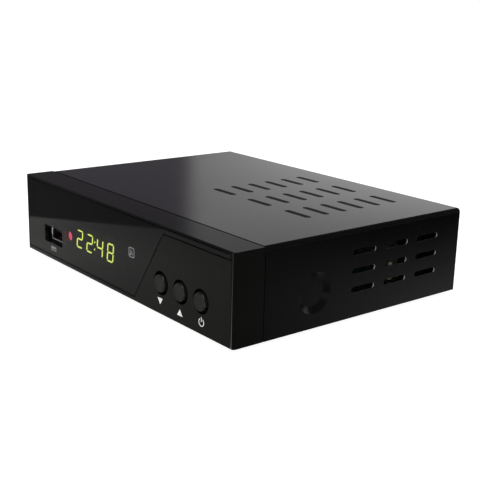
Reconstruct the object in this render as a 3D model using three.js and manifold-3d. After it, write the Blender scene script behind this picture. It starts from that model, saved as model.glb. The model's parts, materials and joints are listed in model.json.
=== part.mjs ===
// A TV decoder box: a folded steel chassis and cover, a moulded front with a smoked lens, three push
// buttons on switches, and two boards with the display and the sockets.
// Millimetres. +X is to the right seen from the front, +Y runs from the front to the back, +Z is up.
// The origin is on the surface that the feet stand on, under the middle of the whole object.
import * as THREE from "three";
import { mergeVertices } from "three/addons/utils/BufferGeometryUtils.js";
import Module from "manifold-3d";

const wasm = await Module();
wasm.setup();

// Overall sizes of the case, without feet, sockets and buttons
const boxWidth = 140;
const boxDepth = 106;
const boxHeight = 31.5;

// How finely round things are drawn
const roundSides = 28;
const smallSides = 16;
const arcSteps = 3;

// How far a cutting tool runs past what it cuts, and how near two corners are before they are one
const overrun = 1;
const weld = 0.0001;

// Folded sheet
const sheet = 0.8;
const bendRadius = 1.4;
const sheetGap = 0.2;
const seamGap = 0.3;

// Vent slots in the cover's top: the first column's x, and the first row's place as a share of the depth
const topSlotLength = 13;
const topSlotWidth = 2.6;
const topSlotColumns = 3;
const topSlotRows = 6;
const topSlotFirstX = 1;
const topSlotPitchX = 21.2;
const topSlotDepthShare = 0.465;
const topSlotPitchY = 8.69;

// Vent slots in the cover's sides
const sideSlotLength = 11.1;
const sideSlotWidth = 2.1;
const sideSlotColumns = 3;
const sideSlotRows = 3;
const sideSlotDepthShare = 0.534;
const sideSlotPitchY = 15.94;
const sideSlotFirstZ = 9.97;
const sideSlotPitchZ = 6.62;

// Round dish pressed into each side
const dishRadius = 7.25;
const dishFloorRadius = 5.2;
const dishDepth = 1.6;
const dishDepthShare = 0.321;
const dishZ = 12.3;

// Cover tabs behind the back panel, and their screws
const tabWidth = 9;
const tabHeight = 10;
const sideTabDrop = 8.5;
const topTabX = -32;

// Pan-head machine screw
const screwShankRadius = 1.5;
const screwHeadRadius = 2.8;
const screwHeadHeight = 1.9;
const screwLength = 6;
const screwHoleGap = 0.3;
const recessLength = 3;
const recessWidth = 0.7;
const recessDepth = 1;

// Chassis: side flanges and the windows that the front's hooks snap into
const flangeHeight = 4;
const flangeSetback = 9.7;
const hookFootDistance = 20;
const hookWidth = 7;
const hookLength = 2;
const hookArmThickness = 1.2;
const hookArmReach = 7.7;
const hookDrop = 0.9;
const hookWindowGap = 0.4;

// Vent slots in the floor, about the floor's middle
const floorSlotLength = 12.5;
const floorSlotWidth = 2.1;
const floorSlotColumns = 2;
const floorSlotRows = 5;
const floorSlotPitchX = 21.8;
const floorSlotPitchY = 8.66;

// Stick-on feet
const footHeight = 1.5;
const footRadius = 5;
const footBottomRadius = 4.5;
const footInsetX = 14;
const footInsetY = 14;

// Moulded front
const bezelDepth = 12.3;
const bezelWall = 2;
const frontWall = 3;
const bezelCornerRadius = 1.5;
const bezelEdgeRadius = 0.5;
const lipLength = 2.5;
const lipGap = 0.25;

// Smoked lens and the recess that it lies in
const lensThickness = 1.5;
const lensGap = 0.35;
const glueGap = 0.05;
const recessInsetX = 1.5;
const recessTopInset = 0.6;
const lowerLineZ = 1.6;
const upperLineDrop = 2.9;
const splitFootReach = 16.8;
const splitHeadReach = 1.36;

// USB socket: its opening in the front, its shell and its tongue
const usbInsetX = 23.1;
const usbZ = 10.3;
const usbShellWidth = 13.4;
const usbShellHeight = 6;
const usbShellWall = 0.4;
const usbShellLength = 14;
const usbShellSetback = 1.3;
const usbOpeningGapX = 0.5;
const usbOpeningGapZ = 0.3;
const usbTongueSideGap = 0.75;
const usbTongueThickness = 1.8;
const usbTongueSetback = 1.5;
const usbBlockLength = 4;
const usbFitGap = 0.1;

// Push buttons: cap in the bezel, and the switch behind it
const buttonNames = ["down", "up", "power"];
const buttonSideInset = 16.67;
const buttonPitch = 11.43;
const buttonZ = 11.33;
const capRadius = 3.9;
const capGap = 0.35;
const capProud = 0.8;
const capEdge = 0.35;
const capFlangeLap = 0.65;
const capFlangeGap = 0.3;
const capFlangeThickness = 0.8;
const capBossRim = 0.6;
const capBossLength = 0.5;
const switchSize = 6;
const switchHeight = 3.5;
const plungerRadius = 1.7;
const plungerGap = 0.3;
const plungerDip = 1.3;
const plungerRoom = 1;

// Front board, held by two screws in bosses on the bezel
const frontBoardY = 9.1;
const boardThickness = 1.6;
const frontBoardUsbGap = 2;
const frontBoardSideInset = 7;
const frontBoardLowZ = 3.5;
const frontBoardTopDrop = 4;
const frontBossInset = 3.5;
const frontBossDrop = 4;
const frontBossRadius = 2.6;
const tapShankRadius = 1.1;
const tapHeadRadius = 2.1;
const tapHeadHeight = 1.4;
const tapLength = 6;

// Clock display, lamp and infrared receiver on the front board
const displayX = -16.9;
const displayZ = 12.9;
const displayWidth = 30.2;
const displayHeight = 12.7;
const displayLensGap = 0.3;
const displayEdge = 0.4;
const windowGap = 0.3;
const lampDisplayGap = 4.2;
const lampZ = 12.3;
const lampRadius = 1.5;
const lampBaseRim = 0.4;
const lampBaseThickness = 1;
const lampLensGap = 0.5;
const lampHoleGap = 0.6;
const receiverDisplayGap = 6.7;
const receiverZ = 13.5;
const receiverWidth = 6;
const receiverHeight = 7.4;
const receiverThickness = 4.2;
const receiverDomeRadius = 2.4;
const receiverHoleGap = 0.6;

// Main board
const boardSideInset = 5;
const boardLipGap = 0.2;
const boardBackInset = 2;
const boardUndersideZ = 5.7;
const boardTongueLeftReach = 10.9;
const boardTongueRightReach = 7.6;
const boardTongueSetback = 2.2;
const standoffRadius = 3;
const boardScrewInsetX = 9.5;
const boardScrewInsetY = 6;

// Tuner can with its two aerial sockets
const tunerSideInset = 16;
const tunerWidth = 36;
const tunerLength = 26;
const tunerHeight = 13;
const tunerLidInset = 0.8;
const tunerLidStep = 0.6;
const aerialPitch = 18;
const aerialReach = 11;
const aerialRadius = 4.75;
const aerialCollarRim = 1.25;
const aerialCollarReach = 1.5;
const aerialBoreRadius = 3.6;
const aerialBoreDepth = 9;
const aerialEdge = 0.4;
const aerialTubeRadius = 1.6;
const aerialTubeInset = 1.5;
const aerialTubeBoreRadius = 0.7;
const aerialTubeBoreDepth = 5;
const aerialSleeveBoreRadius = 4.1;
const aerialPinRadius = 1.1;
const aerialPinInset = 1;

// HDMI socket
const hdmiX = 0;
const hdmiShellWidth = 15;
const hdmiShellHeight = 5.6;
const hdmiShellWall = 0.45;
const hdmiShellLength = 11.2;
const hdmiReach = 0.7;
const hdmiChamfer = 1.8;
const hdmiTongueWidth = 11;
const hdmiTongueThickness = 1.5;
const hdmiTongueInset = 1.2;
const hdmiBlockLength = 3;

// Audio and video jack
const avX = -20;
const avWidth = 7;
const avHeight = 7;
const avLength = 12;
const avNoseRadius = 3.1;
const avReach = 1.2;
const avBoreRadius = 1.8;
const avBoreDepth = 10;

// Power jack
const dcInsetX = 22;
const dcWidth = 9;
const dcHeight = 11;
const dcLength = 14;
const dcNoseRadius = 4.1;
const dcReach = 0.6;
const dcBoreRadius = 3.15;
const dcBoreDepth = 9.5;
const dcPinRadius = 1;
const dcPinInset = 1.5;

// How far a socket keeps from the back panel's opening, and its body from the panel
const panelOpeningGap = 0.35;
const panelGap = 0.3;

// Chips; the places of all the parts on the main board are shares of its width and of its depth
const mainChipShares = [0.39, 0.44];
const mainChipSize = 17;
const mainChipHeight = 1.5;
const sinkSize = 22;
const sinkBase = 2;
const sinkHeight = 9;
const sinkFins = 8;
const sinkFinThickness = 1;
const memoryShares = [0.64, 0.44];
const memorySize = [10.2, 18.4];
const memoryLegs = 12;
const flashShares = [0.18, 0.46];
const flashSize = [5.3, 5.3];
const flashLegs = 4;
const chipHeight = 1.2;
const chipLift = 0.1;
const legReach = 1;
const legWidth = 0.45;
const legThickness = 0.25;

// Crystal, regulator and inductor
const crystalShares = [0.39, 0.21];
const crystalLength = 11;
const crystalWidth = 4.6;
const crystalHeight = 3.5;
const crystalRim = 0.4;
const crystalRimHeight = 0.5;
const regulatorShares = [0.14, 0.7];
const regulatorWidth = 6.6;
const regulatorLength = 6.1;
const regulatorHeight = 2.3;
const regulatorTabLength = 1.5;
const regulatorTabThickness = 0.5;
const regulatorTabWidth = 5.2;
const regulatorLegs = 3;
const regulatorLegWidth = 0.8;
const regulatorLegReach = 2.4;
const inductorShares = [0.27, 0.73];
const inductorSize = 12;
const inductorBase = 1.3;
const inductorCoreRadius = 4.4;
const inductorHeight = 7;
const inductorCorner = 2;

// Can capacitors; the inset is how far each stands to the left of its share of the board's width, so
// that the supply one keeps its distance from the board's right edge and from the tuner can
const capacitors = [
  { name: "capacitor_supply", shares: [1, 0.71], inset: 5.46, radius: 5, height: 12.5 },
  { name: "capacitor_core", shares: [0.84, 0.28], inset: 0, radius: 3.15, height: 11 },
  { name: "capacitor_audio", shares: [0.43, 0.77], inset: 0, radius: 2.5, height: 8 },
];
const capacitorEdge = 0.5;
const capacitorGrooveZ = 1.4;
const capacitorGrooveHeight = 1;
const capacitorGrooveDepth = 0.35;

// Headers and the flat cable between the boards
const headerX = 8;
const headerWidth = 12;
const headerThickness = 5;
const headerDepth = 6;
const headerCableMargin = 0.9;
const cableThickness = 0.9;
const cableBend = 5;
const cableLead = 2.8;
const cableDrop = 1.7;

// The case, worked out from the sizes above
const halfWidth = boxWidth / 2;
const frontY = (capProud - boxDepth - aerialReach) / 2;
const seamEndY = bezelDepth + seamGap;
const panelFaceY = boxDepth - sheet;
const topSlotFirstY = boxDepth * topSlotDepthShare;
const sideSlotFirstY = boxDepth * sideSlotDepthShare;
const dishY = boxDepth * dishDepthShare;
const sideTabZ = boxHeight - sideTabDrop;
const hookX = halfWidth - footInsetX - hookFootDistance;
const hookPlaces = [-hookX, 0, hookX];
const hookArmEndY = bezelDepth + hookArmReach;
const screwHoleRadius = screwShankRadius + screwHoleGap;
const tapHoleRadius = tapShankRadius + screwHoleGap;

// The front's openings and what lies behind them
const usbX = -halfWidth + usbInsetX;
const usbShellStartY = lensThickness + usbShellSetback;
const usbInnerWidth = usbShellWidth - 2 * usbShellWall;
const usbInnerHeight = usbShellHeight - 2 * usbShellWall;
const buttonFirstX = halfWidth - buttonSideInset - (buttonNames.length - 1) * buttonPitch;
const buttonHoleRadius = capRadius + capGap;
const lampX = displayX - displayWidth / 2 - lampDisplayGap;
const receiverX = displayX + displayWidth / 2 + receiverDisplayGap;
const frontBoardBackY = frontBoardY + boardThickness;
const frontBoardLeftX = usbX + usbShellWidth / 2 + frontBoardUsbGap;
const frontBoardRightX = halfWidth - frontBoardSideInset;
const frontBoardHighZ = boxHeight - frontBoardTopDrop;
const frontBossPlaces = [frontBoardLeftX + frontBossInset, frontBoardRightX - frontBossInset];
const frontBossZ = frontBoardHighZ - frontBossDrop;

// The main board, its sockets and the headers
const boardTopZ = boardUndersideZ + boardThickness;
const boardLeftX = -halfWidth + boardSideInset;
const boardRightX = halfWidth - boardSideInset;
const boardFrontY = bezelDepth + lipLength + boardLipGap;
const boardBackY = boxDepth - boardBackInset;
const tunerRightX = halfWidth - tunerSideInset;
const aerialX = tunerRightX - tunerWidth / 2;
const aerialZ = boardTopZ + tunerHeight / 2;
const aerialCollarRadius = aerialRadius + aerialCollarRim;
const dcX = -halfWidth + dcInsetX;
const frontHeaderBackY = frontBoardBackY + headerDepth;
const mainHeaderTopZ = boardTopZ + headerDepth;
const mainHeaderY = frontHeaderBackY + cableLead + cableBend;
const frontHeaderZ = mainHeaderTopZ + cableDrop + cableBend;

// A place on the main board, from its shares of the board's width and depth.
function boardPlace([widthShare, depthShare]) {
  const x = boardLeftX + (boardRightX - boardLeftX) * widthShare;
  return [x, boardFrontY + (boardBackY - boardFrontY) * depthShare];
}
const mainChipPlace = boardPlace(mainChipShares);

// Colours and finishes
function finish(color, roughness, metalness) {
  return new THREE.MeshStandardMaterial({ color, roughness, metalness });
}
const paintedSteel = finish(0x17161a, 0.32, 0.3);
const blackGloss = finish(0x1b1b1a, 0.22, 0);
const smokedLens = finish(0x0c0c0d, 0.06, 0);
const blackRubber = finish(0x141414, 0.9, 0);
const screwSteel = finish(0x2a2a2c, 0.35, 0.8);
const boardGreen = finish(0x1d5a34, 0.5, 0);
const blackPlastic = finish(0x161616, 0.6, 0);
const whitePlastic = finish(0xd9d8d0, 0.5, 0);
const tinnedSteel = finish(0xb9bbbc, 0.3, 0.95);
const nickel = finish(0xc4c2ba, 0.25, 1);
const redEpoxy = finish(0xb5242f, 0.15, 0);
const chipEpoxy = finish(0x1a1a1b, 0.55, 0);
const blackAluminium = finish(0x2b2c2e, 0.45, 0.8);
const sleeveFoil = finish(0x4b4a2c, 0.4, 0);
const cableGrey = finish(0x8f9294, 0.6, 0);

// A box between two corners.
function block([x0, y0, z0], [x1, y1, z1]) {
  const box = new THREE.BoxGeometry(x1 - x0, y1 - y0, z1 - z0);
  return box.translate((x0 + x1) / 2, (y0 + y1) / 2, (z0 + z1) / 2);
}

// An outline on the floor plan, raised from one height by a depth.
function raised(shape, z, depth) {
  const settings = { depth, bevelEnabled: false, curveSegments: arcSteps };
  return new THREE.ExtrudeGeometry(shape, settings).translate(0, 0, z);
}

// An outline seen from the front, in X and Z, made solid from one place in Y over a depth.
function fromFront(shape, y, depth) {
  const axes = new THREE.Matrix4();
  axes.makeBasis(new THREE.Vector3(1, 0, 0), new THREE.Vector3(0, 0, 1), new THREE.Vector3(0, -1, 0));
  return raised(shape, 0, depth).applyMatrix4(axes).translate(0, y + depth, 0);
}

// An outline seen from the side, in Y and Z, made solid from one place in X over a depth.
function fromSide(shape, x, depth) {
  const axes = new THREE.Matrix4();
  axes.makeBasis(new THREE.Vector3(0, 1, 0), new THREE.Vector3(0, 0, 1), new THREE.Vector3(1, 0, 0));
  return raised(shape, 0, depth).applyMatrix4(axes).translate(x, 0, 0);
}

// A profile of radius and place turned about the line through x and z that runs from front to back.
function turnedAlongY(profile, x, z, sides = roundSides) {
  const points = profile.map(([radius, y]) => new THREE.Vector2(radius, y));
  return new THREE.LatheGeometry(points, sides).translate(x, 0, z);
}

// A profile of radius and height turned about the upright line through x and y.
function turnedUpright(profile, x, y, sides = roundSides) {
  const points = profile.map(([radius, z]) => new THREE.Vector2(radius, z));
  return new THREE.LatheGeometry(points, sides).rotateX(Math.PI / 2).translate(x, y, 0);
}

// A plain round bar from front to back, and one that stands upright.
function barAlongY(radius, x, z, y0, y1, sides) {
  const profile = [[0, y0], [radius, y0], [radius, y1], [0, y1]];
  return turnedAlongY(profile, x, z, sides);
}
function uprightBar(radius, x, y, z0, z1, sides) {
  const profile = [[0, z0], [radius, z0], [radius, z1], [0, z1]];
  return turnedUpright(profile, x, y, sides);
}

// A closed outline through corner points.
function outline(points) {
  return new THREE.Shape(points.map(([u, v]) => new THREE.Vector2(u, v)));
}

// A rectangle about a middle, with round corners.
function roundedRectangle(u, v, width, height, radius) {
  const right = u + width / 2 - radius;
  const left = u - width / 2 + radius;
  const top = v + height / 2 - radius;
  const bottom = v - height / 2 + radius;
  const shape = new THREE.Shape();
  shape.absarc(right, bottom, radius, -Math.PI / 2, 0);
  shape.absarc(right, top, radius, 0, Math.PI / 2);
  shape.absarc(left, top, radius, Math.PI / 2, Math.PI);
  shape.absarc(left, bottom, radius, Math.PI, Math.PI * 1.5);
  return shape;
}

// A slot with round ends that runs along the first direction.
function slotOutline(u, v, length, width) {
  const radius = width / 2;
  const shape = new THREE.Shape();
  shape.absarc(u + length / 2 - radius, v, radius, -Math.PI / 2, Math.PI / 2);
  shape.absarc(u - length / 2 + radius, v, radius, Math.PI / 2, Math.PI * 1.5);
  return shape;
}

// Moves every edge of a corner outline inwards by a distance; the corners run anticlockwise.
function inset(points, distance) {
  const edges = points.map(([u, v], i) => {
    const [nextU, nextV] = points[(i + 1) % points.length];
    const along = new THREE.Vector2(nextU - u, nextV - v).normalize();
    const start = new THREE.Vector2(u - along.y * distance, v + along.x * distance);
    return { start, along };
  });
  return edges.map((edge, i) => {
    const before = edges[(i + edges.length - 1) % edges.length];
    const apart = new THREE.Vector2().subVectors(edge.start, before.start);
    const reach = apart.cross(edge.along) / before.along.cross(edge.along);
    return [before.start.x + before.along.x * reach, before.start.y + before.along.y * reach];
  });
}

// A closed three.js geometry as a solid that can be joined and cut.
function solid(geometry) {
  const bare = geometry.clone();
  bare.deleteAttribute("normal");
  bare.deleteAttribute("uv");
  const merged = mergeVertices(bare, weld);
  const vertProperties = new Float32Array(merged.attributes.position.array);
  const triVerts = new Uint32Array(merged.index.array);
  return new wasm.Manifold(new wasm.Mesh({ numProp: 3, vertProperties, triVerts }));
}

// Joins the added geometries, then cuts the removed ones away.
function carve(added, removed = []) {
  let result = solid(added[0]);
  for (const piece of added.slice(1)) result = result.add(solid(piece));
  for (const piece of removed) result = result.subtract(solid(piece));
  return fromSolid(result);
}

// What two geometries have in common.
function common(first, second) {
  return fromSolid(solid(first).intersect(solid(second)));
}

// A joined or cut solid as a three.js geometry.
function fromSolid(result) {
  const { vertProperties, triVerts } = result.getMesh();
  const indexed = new THREE.BufferGeometry();
  indexed.setAttribute("position", new THREE.BufferAttribute(vertProperties, 3));
  indexed.setIndex(new THREE.BufferAttribute(triVerts, 1));
  const geometry = indexed.toNonIndexed();
  geometry.computeVertexNormals();
  return geometry;
}

// Everything but the feet's height and the case's place is worked out from the case's lower front
// edge: y starts at the front face and z at the underside.
const decoder = new THREE.Group();
const casing = new THREE.Group();
casing.position.set(0, frontY, footHeight);
decoder.add(casing);

function place(name, geometry, material, parent = casing) {
  const mesh = new THREE.Mesh(geometry, material);
  mesh.name = name;
  parent.add(mesh);
  return mesh;
}

// Evenly spaced places from a first one.
function spaced(first, pitch, count) {
  return Array.from({ length: count }, (_, i) => first + i * pitch);
}

// Pan-head screw with a cross recess: its head's underside is at 0 and its shank points to -Z.
function panScrew(shankRadius, headRadius, headHeight, length) {
  const profile = [
    [0, -length],
    [shankRadius, -length],
    [shankRadius, 0],
    [headRadius, 0],
    [headRadius, headHeight / 2],
    [headRadius * Math.cos(Math.PI / 4), headHeight],
    [0, headHeight],
  ];
  const low = headHeight - recessDepth;
  const high = headHeight + overrun;
  const across = [[-recessLength / 2, -recessWidth / 2, low], [recessLength / 2, recessWidth / 2, high]];
  const along = [[-recessWidth / 2, -recessLength / 2, low], [recessWidth / 2, recessLength / 2, high]];
  return carve([turnedUpright(profile, 0, 0, smallSides)], [block(...across), block(...along)]);
}
const machineScrew = panScrew(screwShankRadius, screwHeadRadius, screwHeadHeight, screwLength);
const tapScrew = panScrew(tapShankRadius, tapHeadRadius, tapHeadHeight, tapLength);

// The places of the cover's three screws on the back panel
const coverScrewPlaces = {
  left: [-halfWidth + sheet + tabWidth / 2, sideTabZ],
  right: [halfWidth - sheet - tabWidth / 2, sideTabZ],
  top: [topTabX, boxHeight - sheet - tabHeight / 2],
};

// The places of the main board's screws, front left to back right
const boardScrewX = halfWidth - boardScrewInsetX;
const boardScrewPlaces = [
  [-boardScrewX, boardFrontY + boardScrewInsetY],
  [boardScrewX, boardFrontY + boardScrewInsetY],
  [-boardScrewX, boardBackY - boardScrewInsetY],
  [boardScrewX, boardBackY - boardScrewInsetY],
];

// Both sockets' places on the tuner can
const aerialPlaces = [aerialX + aerialPitch / 2, aerialX - aerialPitch / 2];
const avZ = boardTopZ + avHeight / 2;
const dcZ = boardTopZ + dcHeight / 2;
const hdmiZ = boardTopZ + hdmiShellHeight / 2;

// The folded U of the cover, seen from the front.
function coverOutline() {
  const bendX = halfWidth - bendRadius;
  const bendZ = boxHeight - bendRadius;
  const inner = halfWidth - sheet;
  const shape = new THREE.Shape();
  shape.moveTo(inner, 0);
  shape.lineTo(halfWidth, 0);
  shape.absarc(bendX, bendZ, bendRadius, 0, Math.PI / 2, false);
  shape.absarc(-bendX, bendZ, bendRadius, Math.PI / 2, Math.PI, false);
  shape.lineTo(-halfWidth, 0);
  shape.lineTo(-inner, 0);
  shape.absarc(-bendX, bendZ, bendRadius - sheet, Math.PI, Math.PI / 2, true);
  shape.absarc(bendX, bendZ, bendRadius - sheet, Math.PI / 2, 0, true);
  return shape;
}

// A cone that narrows inwards from a case side; side is 1 on the right and -1 on the left.
function dishCone(side, mouthX, mouthRadius, floorX, floorRadius) {
  const profile = [[0, floorX], [floorRadius, floorX], [mouthRadius, mouthX], [0, mouthX]];
  const points = profile.map(([radius, x]) => new THREE.Vector2(radius, x));
  const cone = new THREE.LatheGeometry(points, roundSides).rotateZ((-side * Math.PI) / 2);
  return cone.translate(0, dishY, dishZ);
}

function topCover() {
  const shell = fromFront(coverOutline(), seamEndY, boxDepth - seamEndY);
  const added = [shell];
  const removed = [];
  const topY = spaced(topSlotFirstY, topSlotPitchY, topSlotRows);
  for (const x of spaced(topSlotFirstX, topSlotPitchX, topSlotColumns)) {
    for (const y of topY) {
      const slot = slotOutline(x, y, topSlotLength, topSlotWidth);
      removed.push(raised(slot, boxHeight - sheet - overrun, sheet + 2 * overrun));
    }
  }
  for (const y of spaced(sideSlotFirstY, sideSlotPitchY, sideSlotColumns)) {
    for (const z of spaced(sideSlotFirstZ, sideSlotPitchZ, sideSlotRows)) {
      const slot = slotOutline(y, z, sideSlotLength, sideSlotWidth);
      removed.push(fromSide(slot, -halfWidth - overrun, boxWidth + 2 * overrun));
    }
  }
  const slope = (dishRadius - dishFloorRadius) / dishDepth;
  for (const side of [-1, 1]) {
    const innerX = halfWidth - sheet;
    added.push(dishCone(side, innerX, dishRadius, innerX - dishDepth, dishFloorRadius));
    const mouthRadius = dishRadius + slope * overrun;
    removed.push(dishCone(side, halfWidth + overrun, mouthRadius, halfWidth - dishDepth, dishFloorRadius));
  }
  const tabY = [panelFaceY - sheetGap - sheet, panelFaceY - sheetGap];
  for (const [x, z] of Object.values(coverScrewPlaces)) {
    const onSide = z === sideTabZ;
    const reachX = onSide ? Math.sign(x) * sheet : 0;
    const low = [Math.min(x - tabWidth / 2, x - tabWidth / 2 + reachX), tabY[0], z - tabHeight / 2];
    const high = [Math.max(x + tabWidth / 2, x + tabWidth / 2 + reachX), tabY[1], z + tabHeight / 2];
    if (!onSide) high[2] += sheet / 2;
    added.push(block(low, high));
    removed.push(barAlongY(screwHoleRadius, x, z, tabY[0] - overrun, tabY[1] + overrun, smallSides));
  }
  return carve(added, removed);
}

// The space inside the cover, drawn in by a gap all round, seen from the front and open below.
function insideCover(gap) {
  const radius = Math.max(bendRadius - sheet - gap, weld);
  const side = halfWidth - sheet - gap;
  const top = boxHeight - sheet - gap;
  const shape = new THREE.Shape();
  shape.moveTo(-side, -overrun);
  shape.lineTo(side, -overrun);
  shape.absarc(side - radius, top - radius, radius, 0, Math.PI / 2);
  shape.absarc(-side + radius, top - radius, radius, Math.PI / 2, Math.PI);
  return fromFront(shape, 0, boxDepth + overrun);
}

// The folded floor and back panel, seen from the side.
function chassisOutline() {
  const bendY = boxDepth - bendRadius;
  const shape = new THREE.Shape();
  shape.moveTo(seamEndY, 0);
  shape.lineTo(bendY, 0);
  shape.absarc(bendY, bendRadius, bendRadius, -Math.PI / 2, 0, false);
  shape.lineTo(boxDepth, boxHeight);
  shape.lineTo(panelFaceY, boxHeight);
  shape.absarc(bendY, bendRadius, bendRadius - sheet, 0, -Math.PI / 2, true);
  shape.lineTo(seamEndY, sheet);
  return shape;
}

// A D-shaped HDMI outline with its two lower corners cut off.
function hdmiOutline(width, height) {
  const half = width / 2;
  const low = hdmiZ - height / 2;
  const high = hdmiZ + height / 2;
  return outline([
    [hdmiX - half + hdmiChamfer, low],
    [hdmiX + half - hdmiChamfer, low],
    [hdmiX + half, low + hdmiChamfer],
    [hdmiX + half, high],
    [hdmiX - half, high],
    [hdmiX - half, low + hdmiChamfer],
  ]);
}

function bottomChassis() {
  const half = halfWidth - sheet - sheetGap;
  const flangeStartY = bezelDepth + flangeSetback;
  const added = [common(fromSide(chassisOutline(), -halfWidth, boxWidth), insideCover(sheetGap))];
  for (const x of [-half, half - sheet]) {
    added.push(block([x, flangeStartY, 0], [x + sheet, panelFaceY + sheet / 2, flangeHeight]));
  }
  const removed = [];
  const firstSlotX = (-floorSlotPitchX * (floorSlotColumns - 1)) / 2;
  const firstSlotY = (seamEndY + boxDepth - floorSlotPitchY * (floorSlotRows - 1)) / 2;
  for (const x of spaced(firstSlotX, floorSlotPitchX, floorSlotColumns)) {
    for (const y of spaced(firstSlotY, floorSlotPitchY, floorSlotRows)) {
      removed.push(raised(slotOutline(x, y, floorSlotLength, floorSlotWidth), -overrun, sheet + 2 * overrun));
    }
  }
  for (const x of hookPlaces) {
    const reach = hookWidth / 2 + hookWindowGap;
    const startY = hookArmEndY - hookLength - hookWindowGap;
    const endY = hookArmEndY + hookWindowGap;
    removed.push(block([x - reach, startY, -overrun], [x + reach, endY, sheet + overrun]));
  }
  const through = [panelFaceY - overrun, boxDepth + overrun];
  for (const [x, z] of Object.values(coverScrewPlaces)) {
    removed.push(barAlongY(screwHoleRadius, x, z, ...through, smallSides));
  }
  for (const x of aerialPlaces) {
    removed.push(barAlongY(aerialCollarRadius + panelOpeningGap, x, aerialZ, ...through));
  }
  removed.push(barAlongY(avNoseRadius + panelOpeningGap, avX, avZ, ...through));
  removed.push(barAlongY(dcNoseRadius + panelOpeningGap, dcX, dcZ, ...through));
  const widening = 2 * panelOpeningGap;
  const hdmiOpening = hdmiOutline(hdmiShellWidth + widening, hdmiShellHeight + widening);
  removed.push(fromFront(hdmiOpening, through[0], through[1] - through[0]));
  return carve(added, removed);
}

// The corners of the recess in the front: the lens plate above the slanted line, with a strip along the top.
function recessCorners() {
  const left = -halfWidth + recessInsetX;
  const right = halfWidth - recessInsetX;
  const top = boxHeight - recessTopInset;
  const upperLineZ = boxHeight - upperLineDrop;
  return [
    [left, lowerLineZ],
    [buttonFirstX - splitFootReach, lowerLineZ],
    [buttonFirstX + splitHeadReach, upperLineZ],
    [right, upperLineZ],
    [right, top],
    [left, top],
  ];
}

// A bored post between the floor and the main board.
function standoff() {
  const inner = screwHoleRadius;
  const outer = standoffRadius;
  const top = boardUndersideZ;
  return turnedUpright([[inner, sheet], [outer, sheet], [outer, top], [inner, top], [inner, sheet]], 0, 0);
}

// A rectangular opening about a middle, from one place in Y to another.
function opening(x, z, width, height, y0, y1) {
  return block([x - width / 2, y0, z - height / 2], [x + width / 2, y1, z + height / 2]);
}

function usbOpening(y0, y1) {
  const width = usbShellWidth + 2 * usbOpeningGapX;
  const height = usbShellHeight + 2 * usbOpeningGapZ;
  return opening(usbX, usbZ, width, height, y0, y1);
}

// The bezel's outside: its plan with two rounded front corners, and its side view with rounded edges.
function bezelBody() {
  const corner = bezelCornerRadius;
  const plan = new THREE.Shape();
  plan.moveTo(halfWidth, bezelDepth);
  plan.lineTo(-halfWidth, bezelDepth);
  plan.absarc(-halfWidth + corner, corner, corner, Math.PI, Math.PI * 1.5);
  plan.absarc(halfWidth - corner, corner, corner, Math.PI * 1.5, Math.PI * 2);
  const edge = bezelEdgeRadius;
  const view = new THREE.Shape();
  view.moveTo(bezelDepth, 0);
  view.lineTo(bezelDepth, boxHeight);
  view.absarc(edge, boxHeight - edge, edge, Math.PI / 2, Math.PI);
  view.absarc(edge, edge, edge, Math.PI, Math.PI * 1.5);
  const wide = fromSide(view, -halfWidth - overrun, boxWidth + 2 * overrun);
  return common(raised(plan, 0, boxHeight), wide);
}

function frontBezel() {
  const innerX = halfWidth - bezelWall;
  const innerTop = boxHeight - bezelWall;
  const lipEndY = bezelDepth + lipLength;
  const lip = block([-halfWidth, bezelDepth - bezelWall, sheet + lipGap], [halfWidth, lipEndY, boxHeight]);
  const added = [bezelBody(), common(lip, insideCover(lipGap))];
  const removed = [block([-innerX, frontWall, bezelWall], [innerX, lipEndY + overrun, innerTop])];
  const hollow = carve(added, removed);
  const fittings = [hollow];
  const openings = [fromFront(outline(recessCorners()), -overrun, lensThickness + overrun)];
  for (const x of hookPlaces) {
    const left = x - hookWidth / 2;
    const right = x + hookWidth / 2;
    const armLow = sheet + lipGap;
    const armHigh = armLow + hookArmThickness;
    fittings.push(block([left, bezelDepth - bezelWall, armLow], [right, hookArmEndY, armHigh]));
    fittings.push(block([left, hookArmEndY - hookLength, armLow - hookDrop], [right, hookArmEndY, armHigh]));
  }
  for (const x of frontBossPlaces) {
    fittings.push(barAlongY(frontBossRadius, x, frontBossZ, frontWall - overrun, frontBoardY, smallSides));
    const hole = [frontBoardBackY - tapLength - screwHoleGap, frontBoardY + overrun];
    openings.push(barAlongY(tapHoleRadius, x, frontBossZ, ...hole, smallSides));
  }
  for (const x of spaced(buttonFirstX, buttonPitch, buttonNames.length)) {
    openings.push(barAlongY(buttonHoleRadius, x, buttonZ, -overrun, frontWall + overrun));
  }
  const through = [-overrun, frontWall + overrun];
  openings.push(usbOpening(...through));
  const windowWidth = displayWidth + 2 * windowGap;
  openings.push(opening(displayX, displayZ, windowWidth, displayHeight + 2 * windowGap, ...through));
  openings.push(barAlongY(lampRadius + lampHoleGap, lampX, lampZ, ...through, smallSides));
  const receiverHoleRadius = receiverDomeRadius + receiverHoleGap;
  openings.push(barAlongY(receiverHoleRadius, receiverX, receiverZ, ...through, smallSides));
  return carve(fittings, openings);
}

function frontLens() {
  const plate = fromFront(outline(inset(recessCorners(), lensGap)), 0, lensThickness - glueGap);
  return carve([plate], [usbOpening(-overrun, lensThickness + overrun)]);
}

function foot() {
  const side = [[footBottomRadius, 0], [footRadius, footHeight / 2], [footRadius, footHeight]];
  return turnedUpright([[0, 0], ...side, [0, footHeight]], 0, 0);
}

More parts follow.
